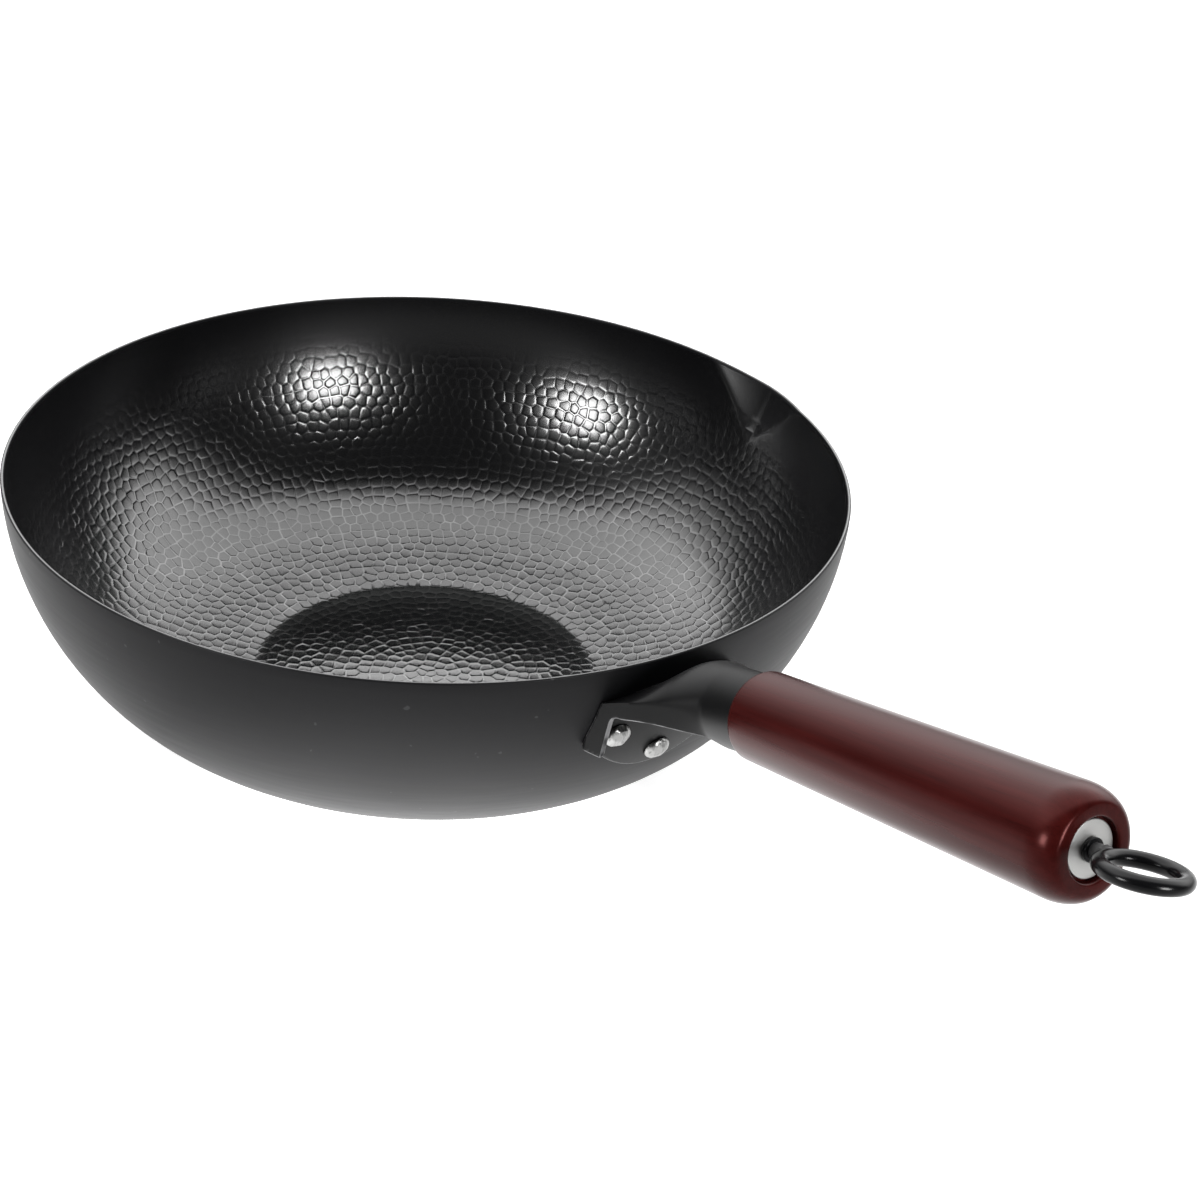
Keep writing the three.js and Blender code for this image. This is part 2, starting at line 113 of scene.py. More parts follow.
# The hood's free edge, as (reach past the rim, drop below the rim)
LIP_REACH = 0.3 * MM
LIP_LEAN = 1.0 * MM
LIP_BOTTOM_DROP = 31.8 * MM
ARCH_SPRING_DROP = 19 * MM
ARCH_CORNER = 4.2 * MM
ARCH_END_REACH = 36 * MM
ARCH_END_DROP = 9.3 * MM
ARCH_BOW = 2.6 * MM
ARCH_NOSE = 6 * MM

# The bracket's back plate, as (half width, drop below the rim)
PLATE_TOP = (26.2 * MM, 13 * MM)
PLATE_SHOULDER = (28.9 * MM, 30.4 * MM)
TONGUE_CORNER = (21.5 * MM, 37.8 * MM)
TONGUE_TIP_DROP = 47.9 * MM
PLATE_BLANK_HALF_WIDTH = 32 * MM
PLATE_BLANK_DROPS = (50 * MM, 12 * MM)

# Cut sheet: halvings in the search for the cut line, and the half-round of its edges
CUT_HALVINGS = 18
EDGE_STEPS = 4
EDGE_BULGE = 0.35
TINY = 1e-12

# Rivets, as (sideways, drop below the rim), and the hammer blows on their heads
RIVET_SEATS = {
    "rivet_upper_left": (-19 * MM, 27.1 * MM),
    "rivet_upper_right": (19 * MM, 27.1 * MM),
    "rivet_lower": (0.0, 39.5 * MM),
}
SHANK_RADIUS = 2.2 * MM
INNER_HEAD_RADIUS = 3.8 * MM
INNER_HEAD_HEIGHT = 1.3 * MM
HEAD_BLOWS = 15
BLOW_TILTS = (8.0, 72.0)
BLOW_LEVELS = (0.9, 0.955)

# Grip, washer and eye, as distances along the handle's axis
TENON_START = 36.3 * MM
TENON_RADIUS = 10.5 * MM
GRIP_START = 48.3 * MM
NECK_ROUND = 1.8 * MM
END_ROUND = 9.5 * MM
END_FACE_RADIUS = 12.5 * MM
RECESS_DEPTH = 2.9 * MM
RECESS_SIDE_GAP = 0.9 * MM
RECESS_ROUND = 0.7 * MM
WASHER_THICKNESS = 1.2 * MM
WASHER_ROUND = 0.35 * MM
COLLAR_RADIUS = 3.6 * MM
COLLAR_THICKNESS = 1.2 * MM
COLLAR_ROUND = 0.4 * MM
COLLAR_BORE_SHARE = 0.6
ROD_START = 31.8 * MM
ROD_CHAMFER = 0.5 * MM
# Bead where the rod meets the loop, as (along, proud of the wire)
WELD_BEAD = ((-0.7 * MM, 0.0), (-0.2 * MM, 0.1 * MM), (0.3 * MM, 0.4 * MM))

# Stage: the floor, the middles of its painted patch of light and its painted glow, the bright backdrop's
# direction, two soft boxes and the camera's right, up and back
FLOOR_HALF = 40.0
FLOOR_DROP = 0.2 * MM
# Middle of the floor's painted patch of light
PAINTED_LIGHT_MIDDLE = (-0.6, 0.44, 0.0)
# Middle of the floor's painted glow in front of the wok
SHADOW_FILL_GLOW_MIDDLE = (0.125, -0.085, 0.0)
BACKDROP = (-0.867, 0.461, 0.191)
BACKDROP_UP = (0.0, 0.2, 1.0)
BOXES = {"box_right": (0.963, 0.045, 0.275), "box_left": (0.16, -0.937, 0.325)}
BOX_AIM = Vector((0.0, 0.0, 0.06))
BOX_DISTANCE = 1.3
BOX_SIZE = 0.32
CAMERA_PLACE = (0.64642, -0.38841, 0.47592)
CAMERA_AXES = (
    (0.555894, 0.828380, 0.069045),
    (-0.450239, 0.230231, 0.862716),
    (0.698761, -0.510665, 0.500955),
)
CAMERA_SENSOR = 36.0
CAMERA_NEAR = 0.05


class WokBowl(PropertyGroup):
    """Sizes of the bowl."""

    rim_radius: FloatProperty(
        name="Rim radius", description="Radius of the rim, outside", default=-BOWL_LOW.x, unit="LENGTH"
    )
    height: FloatProperty(
        name="Height", description="Height of the rim above the hob", default=BOWL_HIGH.z, unit="LENGTH"
    )
    base_radius: FloatProperty(
        name="Base radius", description="Radius of the flat base", default=73 * MM, unit="LENGTH"
    )
    floor_radius: FloatProperty(
        name="Floor radius", description="Radius of the flat floor inside", default=69 * MM, unit="LENGTH"
    )
    floor_edge: FloatProperty(
        name="Floor edge", description="Angle at which the inside leaves the flat floor",
        default=math.radians(12), subtype="ANGLE",
    )
    base_sweep: FloatProperty(
        name="Base sweep", description="Pull of the wall's curve along the base",
        default=58 * MM, unit="LENGTH",
    )
    rim_sweep: FloatProperty(
        name="Rim sweep", description="Pull of the wall's curve below the rim",
        default=42 * MM, unit="LENGTH",
    )
    wall: FloatProperty(name="Wall", description="Thickness of the iron", default=1.4 * MM, unit="LENGTH")
    spout_angle: FloatProperty(
        name="Spout angle", description="Turn from the handle to the pour spout",
        default=math.radians(90.4), subtype="ANGLE",
    )
    spout_half_width: FloatProperty(
        name="Spout half width", description="Half of the spout's width on the rim",
        default=30 * MM, unit="LENGTH",
    )
    spout_depth: FloatProperty(
        name="Spout depth", description="How far down the wall the spout runs",
        default=27 * MM, unit="LENGTH",
    )
    spout_reach: FloatProperty(
        name="Spout reach", description="How far the spout stands out of the rim",
        default=7 * MM, unit="LENGTH",
    )
    spout_dip: FloatProperty(
        name="Spout dip", description="How far the spout dips below the rim", default=4 * MM, unit="LENGTH"
    )
    dimple_width: FloatProperty(
        name="Dimple width", description="Width of one hammer mark", default=5.0 * MM, unit="LENGTH"
    )
    dimple_depth: FloatProperty(
        name="Dimple depth", description="Depth of one hammer mark", default=0.13 * MM, unit="LENGTH"
    )
    smooth_band: FloatProperty(
        name="Smooth band", description="Width of the plain band below the rim",
        default=17 * MM, unit="LENGTH",
    )


class WokHandle(PropertyGroup):
    """Sizes of the bracket, rivets, grip, washer and eye."""

    sheet: FloatProperty(
        name="Sheet", description="Thickness of the bracket's steel", default=1.6 * MM, unit="LENGTH"
    )
    root_half_width: FloatProperty(
        name="Root half width", description="Half of the hood's width at the wall",
        default=28.5 * MM, unit="LENGTH",
    )
    tube_radius: FloatProperty(
        name="Tube radius", description="Outer radius of the bracket's tube",
        default=13.3 * MM, unit="LENGTH",
    )
    tube_end: FloatProperty(
        name="Tube end", description="Distance from rim to tube end", default=48 * MM, unit="LENGTH"
    )
    rivet_radius: FloatProperty(
        name="Rivet radius", description="Radius of a rivet's head", default=4.8 * MM, unit="LENGTH"
    )
    rivet_height: FloatProperty(
        name="Rivet height", description="Height of a rivet's head", default=2.9 * MM, unit="LENGTH"
    )
    grip_length: FloatProperty(
        name="Grip length", description="Length of the wood grip", default=142.2 * MM, unit="LENGTH"
    )
    grip_neck_radius: FloatProperty(
        name="Grip neck radius", description="Radius of the grip beside the tube",
        default=14.8 * MM, unit="LENGTH",
    )
    grip_swell_radius: FloatProperty(
        name="Grip swell radius", description="Radius of the grip near its end",
        default=17 * MM, unit="LENGTH",
    )
    washer_radius: FloatProperty(
        name="Washer radius", description="Radius of the end washer", default=8.4 * MM, unit="LENGTH"
    )
    wire_radius: FloatProperty(
        name="Wire radius", description="Radius of the eye's wire", default=2.4 * MM, unit="LENGTH"
    )
    loop_radius: FloatProperty(
        name="Loop radius", description="Radius of the eye's loop", default=11.3 * MM, unit="LENGTH"
    )
    loop_reach: FloatProperty(
        name="Loop reach", description="Distance from washer to loop middle",
        default=18.4 * MM, unit="LENGTH",
    )
    loop_roll: FloatProperty(
        name="Loop roll", description="Turn of the loop about the handle",
        default=math.radians(-15), subtype="ANGLE",
    )
    loop_droop: FloatProperty(
        name="Loop droop", description="Fall of the loop below the handle's axis",
        default=math.radians(2.7), subtype="ANGLE",
    )


class WokFinish(PropertyGroup):
    """Colours of the finishes."""

    iron_inside: FloatVectorProperty(
        name="Iron inside", description="Dark iron of the hammered inside",
        default=(0.0032, 0.0032, 0.0036), subtype="COLOR",
    )
    iron_outside: FloatVectorProperty(
        name="Iron outside", description="Satin iron of the outside",
        default=(0.005, 0.005, 0.0056), subtype="COLOR",
    )
    bare_edge: FloatVectorProperty(
        name="Bare edge", description="Bare iron along the rim",
        default=(0.03, 0.03, 0.031), subtype="COLOR",
    )
    bracket_black: FloatVectorProperty(
        name="Bracket black", description="Black finish of the bracket",
        default=(0.0028, 0.0028, 0.003), subtype="COLOR",
    )
    # Bright steel of the hood's cut edges: partly wear, partly a painted highlight along the edges
    bracket_edge_wear_and_highlight: FloatVectorProperty(
        name="Bracket worn", description="Worn edge of the bracket",
        default=(0.14, 0.14, 0.143), subtype="COLOR",
    )
    rivet_steel: FloatVectorProperty(
        name="Rivet steel", description="Bright peened rivets",
        default=(0.29, 0.29, 0.286), subtype="COLOR",
    )
    wood_dark: FloatVectorProperty(
        name="Wood dark", description="Dark grain of the lacquered wood",
        default=(0.0172, 0.0018, 0.0016), subtype="COLOR",
    )
    wood_light: FloatVectorProperty(
        name="Wood light", description="Light grain of the lacquered wood",
        default=(0.0335, 0.004, 0.0036), subtype="COLOR",
    )
    washer_steel: FloatVectorProperty(
        name="Washer steel", description="Brushed steel of the washer",
        default=(0.5, 0.5, 0.49), subtype="COLOR",
    )
    eye_black: FloatVectorProperty(
        name="Eye black", description="Gloss black of the eye",
        default=(0.003, 0.003, 0.0034), subtype="COLOR",
    )
    anchor_steel: FloatVectorProperty(
        name="Anchor steel", description="Plain steel of the anchor plate and the eye's rod",
        default=(0.16, 0.16, 0.163), subtype="COLOR",
    )


class WokStage(PropertyGroup):
    """Floor, light and camera."""

    floor_colour: FloatVectorProperty(
        name="Floor", description="Colour of the plain floor", default=(0.75, 0.75, 0.75), subtype="COLOR"
    )
    sky_strength: FloatProperty(
        name="Sky", description="Brightness of the backdrop behind the wok", default=4.2, min=0.0
    )
    box_power: FloatProperty(
        name="Soft boxes", description="Power of each soft box in watts",
        default=9.5, min=0.0, unit="POWER",
    )
    lens: FloatProperty(name="Lens", description="Focal length of the camera", default=66.0, unit="CAMERA")


class Value:
    """A node's output, so that shader maths reads as Python expressions."""

    def __init__(self, finish, socket):
        self.finish = finish
        self.socket = socket

    def maths(self, operation, *terms):
        sockets = dict(enumerate(terms))
        return self.finish.node("ShaderNodeMath", {"operation": operation}, sockets)

    def __add__(self, other):
        return self.maths("ADD", self, other)

    def __radd__(self, other):
        return self.maths("ADD", other, self)

    def __sub__(self, other):
        return self.maths("SUBTRACT", self, other)

    def __rsub__(self, other):
        return self.maths("SUBTRACT", other, self)

    def __mul__(self, other):
        return self.maths("MULTIPLY", self, other)

    def __rmul__(self, other):
        return self.maths("MULTIPLY", other, self)


class Finish:
    """The nodes of a material or of the sky, in the making."""

    def __init__(self, holder):
        self.holder = holder
        holder.use_nodes = True
        self.tree = holder.node_tree
        self.tree.nodes.clear()

    def node(self, kind, settings=None, sockets=None, output=0):
        """Add a node: its settings first, then the values or links of its sockets."""
        node = self.tree.nodes.new(kind)
        for name, value in (settings or {}).items():
            if name == "stops":
                self.set_stops(node.color_ramp, value)
            else:
                setattr(node, name, value)
        for name, value in (sockets or {}).items():
            if isinstance(value, Value):
                self.tree.links.new(value.socket, node.inputs[name])
            else:
                node.inputs[name].default_value = value
        return Value(self, node.outputs[output]) if node.outputs else None

    @staticmethod
    def set_stops(ramp, stops):
        while len(ramp.elements) < len(stops):
            ramp.elements.new(1.0)
        for element, (place, level) in zip(ramp.elements, stops):
            element.position = place
            element.color = (level, level, level, 1.0)

    def ramp(self, value, *stops):
        """Levels of grey between stops (place, level), with places from 0 to 1."""
        return self.node("ShaderNodeValToRGB", {"stops": stops}, {"Fac": value})

    def spread(self, value, low, high):
        """A value's stretch from low to high, as 0 to 1."""
        return self.ramp(value, (low, 0.0), (high, 1.0))

    def vector(self, operation, first, second, output="Vector"):
        return self.node("ShaderNodeVectorMath", {"operation": operation}, {0: first, 1: second}, output)

    def spot(self):
        return self.node("ShaderNodeTexCoord", output="Object")

    def reach(self, middle=(0.0, 0.0, 0.0), axes=(1.0, 1.0, 1.0)):
        """Distance of the surface from a point, counted along some axes only."""
        return self.vector("DISTANCE", self.vector("MULTIPLY", self.spot(), axes), middle, "Value")

    def noise(self, scale, detail=3.0, stretch=(1.0, 1.0, 1.0), warp=None, roughness=0.55, output="Fac"):
        """Noise over the piece, warped first and then stretched along its axes."""
        place = self.spot() if warp is None else self.vector("ADD", self.spot(), warp)
        place = self.vector("MULTIPLY", place, stretch)
        sockets = {"Vector": place, "Scale": scale, "Detail": detail, "Roughness": roughness}
        return self.node("ShaderNodeTexNoise", None, sockets, output)

    def mix(self, share, first, second):
        """A colour between two colours."""
        sockets = {0: share, 6: first, 7: second}
        return self.node("ShaderNodeMix", {"data_type": "RGBA"}, sockets, 2)

    def tones(self, share, colour, low, high):
        """A colour between two strengths of one colour."""
        return self.mix(share, rgba(colour, low), rgba(colour, high))

    def bump(self, height, distance, strength=1.0):
        sockets = {"Height": height, "Distance": distance, "Strength": strength}
        return self.node("ShaderNodeBump", None, sockets)

    def close(self, **sockets):
        """Join the shader to the output. Names are its sockets, with underscores for spaces."""
        named = {name.replace("_", " "): value for name, value in sockets.items()}
        shader = self.node("ShaderNodeBsdfPrincipled", None, named)
        self.node("ShaderNodeOutputMaterial", None, {"Surface": shader})
        return self.holder


def rgba(colour, share=1.0):
    return (colour[0] * share, colour[1] * share, colour[2] * share, 1.0)


def hammered_iron(colours, floor_radius):
    """Dark iron, smoother on the flat floor and brighter on the ridges between its hammer marks."""
    finish = Finish(bpy.data.materials.new("hammered_iron"))
    cloud = finish.noise(26.0, 4.0)
    fine = finish.noise(900.0, 2.0)
    ridge = finish.node("ShaderNodeAttribute", {"attribute_name": "ridge"}, output="Fac")
    across = finish.reach(axes=(1.0, 1.0, 0.0))
    polish = finish.ramp(across, (floor_radius - 3 * MM, 1.0), (floor_radius + 2 * MM, 0.0))
    return finish.close(
        Base_Color=finish.tones(finish.spread(cloud, 0.3, 0.7), colours.iron_inside, 0.86, 1.1),
        Roughness=0.19 + 0.03 * cloud + 0.03 * fine - 0.11 * polish,
        Normal=finish.bump(fine, 0.015 * MM, 0.4),
        Specular_IOR_Level=0.75,
        Coat_Weight=finish.spread(ridge, 0.06, 0.62),
        Coat_Roughness=0.22,
    )


def satin_iron(colours):
    """Satin iron with faint rubbed streaks, cloudy tone and a few pale specks."""
    finish = Finish(bpy.data.materials.new("satin_iron"))
    cloud = finish.noise(14.0, 5.0)
    streak = finish.noise(40.0, stretch=(1.0, 1.0, 14.0))
    speck = finish.spread(finish.noise(260.0, 1.0), 0.765, 0.79)
    tone = finish.spread(cloud * 0.6 + streak * 0.4, 0.32, 0.68)
    colour = finish.tones(tone, colours.iron_outside, 0.85, 1.18)
    return finish.close(
        Base_Color=finish.mix(speck * 0.2, colour, rgba(colours.bare_edge, 3.0)),
        Roughness=0.4 + 0.1 * streak,
        Normal=finish.bump(streak, 0.03 * MM, 0.4),
        Specular_IOR_Level=0.12,
    )


def bare_rim(colours):
    """Bare iron where the rim's edge is ground."""
    finish = Finish(bpy.data.materials.new("bare_rim"))
    wear = finish.noise(120.0)
    return finish.close(
        Base_Color=finish.tones(finish.spread(wear, 0.35, 0.65), colours.bare_edge, 0.55, 1.0),
        Roughness=0.22 + 0.1 * wear,
        Specular_IOR_Level=0.75,
    )


def black_sheet(colours):
    """Black bracket finish with soft orange peel and dusty patches."""
    finish = Finish(bpy.data.materials.new("black_sheet"))
    peel = finish.noise(420.0, 2.0)
    cloud = finish.noise(45.0, 4.0)
    return finish.close(
        Base_Color=finish.tones(finish.spread(cloud, 0.35, 0.75), colours.bracket_black, 1.0, 1.7),
        Roughness=0.26 + 0.12 * cloud,
        Normal=finish.bump(peel, 0.03 * MM, 0.35),
        Specular_IOR_Level=0.12,
    )


def worn_and_highlight_edge(colours):
    """Cut edge of the bracket, its black worn through to steel in patches; the bright steel partly stands
    for a painted highlight along the edges.
    """
    finish = Finish(bpy.data.materials.new("worn_and_highlight_edge"))
    wear = finish.noise(160.0)
    share = finish.spread(wear, 0.36, 0.6)
    return finish.close(
        # Patches of bright steel on the cut edge, partly wear and partly a painted highlight
        Base_Color=finish.mix(share, rgba(colours.bracket_black, 3.0), rgba(colours.bracket_edge_wear_and_highlight)),
        Metallic=0.7,
        Roughness=0.32 + 0.16 * wear,
    )


def peened_steel(colours):
    """Bright rivet steel with dark scuffs in its hammer marks."""
    finish = Finish(bpy.data.materials.new("peened_steel"))
    scuff = finish.noise(330.0, stretch=(1.0, 3.0, 1.0))
    return finish.close(
        Base_Color=finish.tones(finish.spread(scuff, 0.3, 0.5), colours.rivet_steel, 0.35, 1.0),
        Metallic=1.0,
        Roughness=0.24 + 0.16 * scuff,
        Normal=finish.bump(scuff, 0.05 * MM, 0.4),
    )


def lacquered_wood(colours):
    """Red-brown wood with fine grain and pores along the grip, under a clear red gloss."""
    finish = Finish(bpy.data.materials.new("lacquered_wood"))
    wander = finish.noise(28.0, 2.0, (0.2, 1.0, 1.0), output="Color")
    warp = finish.vector("MULTIPLY", wander, (5 * MM, 5 * MM, 5 * MM))
    grain = finish.noise(420.0, 5.0, (0.05, 1.0, 1.0), warp, 0.6)
    band = finish.noise(75.0, 3.0, (0.12, 1.0, 1.0), warp)
    pores = finish.spread(finish.noise(1500.0, 2.0, (0.03, 1.0, 1.0)), 0.6, 0.72)
    tone = finish.spread(grain * 0.55 + band * 0.45, 0.34, 0.66)
    colour = finish.mix(tone, rgba(colours.wood_dark), rgba(colours.wood_light))
    return finish.close(
        Base_Color=finish.mix(pores * 0.5, colour, rgba(colours.wood_dark, 0.6)),
        Roughness=0.2 + 0.05 * band,
        IOR=1.22,
        Specular_IOR_Level=0.65,
        Specular_Tint=rgba((1.0, 0.38, 0.36)),
        Normal=finish.bump(grain, 0.03 * MM, 0.25),
    )


def brushed_washer(colours):
    """Washer steel brushed in rings about its hole."""
    finish = Finish(bpy.data.materials.new("brushed_washer"))
    rings = {"W": finish.reach(axes=(0.0, 1.0, 1.0)) * 9000.0, "Scale": 1.0}
    ring = finish.node("ShaderNodeTexNoise", {"noise_dimensions": "1D"}, rings)
    patch = finish.noise(180.0)
    return finish.close(
        Base_Color=finish.tones(ring, colours.washer_steel, 0.8, 1.1),
        Metallic=1.0,
        Roughness=0.36 + 0.1 * patch + 0.06 * ring,
        Normal=finish.bump(ring, 0.02 * MM, 0.5),
    )


def gloss_black(colours):
    """Gloss black of the eye, a little uneven."""
    finish = Finish(bpy.data.materials.new("gloss_black"))
    run = finish.noise(240.0, 2.0)
    return finish.close(
        Base_Color=finish.tones(run, colours.eye_black, 0.8, 1.3),
        Roughness=0.16 + 0.08 * run,
        Specular_IOR_Level=0.16,
        Normal=finish.bump(run, 0.05 * MM, 0.2),
    )


def plain_steel(colours):
    """Plain turned steel of the hidden anchor plate and the eye's rod."""
    finish = Finish(bpy.data.materials.new("plain_steel"))
    mill = finish.noise(160.0, stretch=(1.0, 6.0, 6.0))
    return finish.close(
        Base_Color=finish.tones(mill, colours.anchor_steel, 0.7, 1.0),
        Metallic=1.0,
        Roughness=0.38 + 0.14 * mill,
    )


def pale_floor_painted_light(stage):
    """Pale floor with painted light: palest in a round painted patch of light, falling away to painted
    shade beyond it, with a painted glow round the wok and in front of it that fills the wok's shadow and
    brightens the wok's lower outside.
    """
    finish = Finish(bpy.data.materials.new("pale_floor_painted_light"))
    # Painted glow round the wok, which fills its shadow on the floor
    near = finish.ramp(finish.reach(), (0.15, 1.0), (0.3, 0.0))
    # Painted glow in front of the wok, which fills its shadow and brightens the wok's lower outside
    front = finish.ramp(finish.reach(SHADOW_FILL_GLOW_MIDDLE), (0.03, 1.0), (0.12, 0.0))
    # Painted light: palest in a round patch, falling to painted shade beyond it
    painted_light_patch = finish.ramp(0.5 * finish.reach(PAINTED_LIGHT_MIDDLE), (0.51, 1.0), (0.66, 0.35))
    return finish.close(
        Base_Color=finish.tones(painted_light_patch, stage.floor_colour, 0.0, 1.0),
        Roughness=0.85,
        Specular_IOR_Level=0.1,
        # Emission is the painted glow: a quarter round the wok, the rest in front of it
        Emission_Color=finish.tones(0.25 * near + 0.75 * front, stage.floor_colour, 0.0, 1.0),
        Emission_Strength=3.6,
    )


def ease(share):
    """A share from 0 to 1 that starts and ends gently."""
    share = np.clip(share, 0.0, 1.0)
    return share * share * (3.0 - 2.0 * share)


def between(first, second, share):
    return first + (second - first) * share


def bent(start, pull, end, count=12):
    """Points of a curve from start towards a pull and on to the end."""
    t = np.linspace(0.0, 1.0, count)[:, None]
    start, pull, end = np.array(start), np.array(pull), np.array(end)
    return (1 - t) ** 2 * start + 2 * t * (1 - t) * pull + t * t * end


def swept(start, first_pull, second_pull, end, count):
    """Points of a curve from start to end with two pulls."""
    t = np.linspace(0.0, 1.0, count)[:, None]
    early, late = bent(start, first_pull, second_pull, count), bent(first_pull, second_pull, end, count)
    return (1 - t) * early + t * late


def make_piece(name, points, faces, materials, marks=None, sharp=40, place=None):
    """A smooth mesh object from points and faces, with a material number for each face.

    Edges that fold by more than sharp degrees stay crisp.
    """
    mesh = bpy.data.meshes.new(name)
    mesh.from_pydata([tuple(point) for point in points], [], faces)
    for material in materials:
        mesh.materials.append(material)
    if marks is not None:
        mesh.polygons.foreach_set("material_index", marks)
    mesh.validate()
    mesh.shade_smooth()
    mesh.set_sharp_from_angle(angle=math.radians(sharp))
    piece = bpy.data.objects.new(name, mesh)
    bpy.context.collection.objects.link(piece)
    if place is not None:
        piece.matrix_world = place
    return piece


def joined(*shells):
    """One mesh of several shells, each of points, faces and material numbers."""
    points, faces, marks = [], [], []
    for spots, outlines, kinds in shells:
        faces += [tuple(len(points) + i for i in outline) for outline in outlines]
        points += [tuple(spot) for spot in spots]
        marks += kinds
    return points, faces, marks


def seat_piece(piece, node, body):
    """Put a piece in the place of a CAD node."""
    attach(piece, body)
    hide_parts(node)


def outward_of(slope):
    """Outward directions of an outline, from its slope."""
    slope = slope / np.linalg.norm(slope, axis=1)[:, None]
    return np.column_stack((slope[:, 1], -slope[:, 0]))


def wall_outline(bowl, offset, count=300):
    """Points (radius, height) up the wall, set out by an offset, and the wall's outward directions."""
    corners = np.array([
        (bowl.base_radius, 0.0),
        (bowl.base_radius + bowl.base_sweep, 0.0),
        (bowl.rim_radius, bowl.height - bowl.rim_sweep),
        (bowl.rim_radius, bowl.height),
    ])
    outward = outward_of(bent(*np.diff(corners, axis=0), count))
    return swept(*corners, count) + offset * outward, outward


def off_spout(bowl, turn):
    """Turn away from the spout's middle, counted in the spout's half width."""
    away = (turn - bowl.spout_angle + math.pi) % (2 * math.pi) - math.pi
    return away * bowl.rim_radius / bowl.spout_half_width


def press_spout(bowl, turn, radius, height):
    """Points in space from turn, radius and height, with the pour spout pressed out."""
    away = np.sqrt(off_spout(bowl, turn) ** 2 + SPOUT_CREASE**2)
    push = 1.0 - (bowl.height - height) / bowl.spout_depth - away
    push = 0.5 * (push + np.sqrt(push**2 + SPOUT_CREASE**2))
    radius = radius + bowl.spout_reach * push
    height = height - bowl.spout_dip * push
    return np.column_stack((radius * np.cos(turn), radius * np.sin(turn), height))


class InsideMap:
    """The bowl's inside, unrolled to a flat disc that keeps shapes true."""

    def __init__(self, bowl):
        wall, outward = wall_outline(bowl, -bowl.wall)
        join = int(np.searchsorted(wall[:, 0], bowl.floor_radius + FLOOR_BEND))
        edge = np.array((bowl.floor_radius, bowl.wall))
        leave = np.array((math.cos(bowl.floor_edge), math.sin(bowl.floor_edge)))
        arrive = np.array((-outward[join, 1], outward[join, 0]))
        pull = BEND_PULL * FLOOR_BEND
        floor = np.linspace((MM, bowl.wall), edge, 60)[:-1]
        bend = swept(edge, edge + pull * leave, wall[join] - pull * arrive, wall[join], 120)[:-1]
        self.bowl = bowl
        self.outline = np.vstack((floor, bend, wall[join:]))
        self.outward = outward_of(np.gradient(self.outline, axis=0))
        steps = np.linalg.norm(np.diff(self.outline, axis=0), axis=1)
        self.arc = np.concatenate(([MM], MM + np.cumsum(steps)))
        middle = 0.5 * (self.outline[1:, 0] + self.outline[:-1, 0])
        self.flat = MM * np.exp(np.concatenate(([0.0], np.cumsum(steps / middle))))

    def at(self, arc, values):
        """What values along the outline come to at a length of arc from the middle."""
        return float(np.interp(arc, self.arc, values))

    def points(self, spots, depth):
        """Points in space from spots on the flat disc, sunk into the iron by a depth."""
        flat = np.hypot(spots[:, 0], spots[:, 1])
        rows = (*self.outline.T, *self.outward.T)
        radius, height, out, up = (np.interp(flat, self.flat, row) for row in rows)
        radius = np.where(flat < MM, flat, radius) + depth * out
        return press_spout(self.bowl, np.arctan2(spots[:, 1], spots[:, 0]), radius, height + depth * up)


def hammer_spots(bowl, inside, arc_end):
    """Middles of the hammer marks on the flat disc, in shaken rings."""
    dice = random.Random(7)
    rings = int(arc_end / (RING_STEP * bowl.dimple_width))
    step = arc_end / rings
    spots = []
    for ring in range(rings):
        arc = (ring + 0.5) * step
        round_trip = 2 * math.pi * inside.at(arc, inside.outline[:, 0])
        count = max(3, round(round_trip / bowl.dimple_width))
        start = dice.random()
        for i in range(count):
            turn = 2 * math.pi * (i + start + dice.uniform(-SPOT_SHAKE, SPOT_SHAKE)) / count
            shaken = max(MM, arc + dice.uniform(-SPOT_SHAKE, SPOT_SHAKE) * step)
            flat = inside.at(shaken, inside.flat)
            spots.append((flat * math.cos(turn), flat * math.sin(turn)))
    return np.array(spots)


def circle_middles(a, b, c):
    """Middles of the circles through three points each."""
    b, c = b - a, c - a
    twice = 2 * (b[:, 0] * c[:, 1] - b[:, 1] * c[:, 0])
    bb, cc = (b * b).sum(axis=1), (c * c).sum(axis=1)
    x = (c[:, 1] * bb - b[:, 1] * cc) / twice
    y = (b[:, 0] * cc - c[:, 0] * bb) / twice
    return a + np.column_stack((x, y))


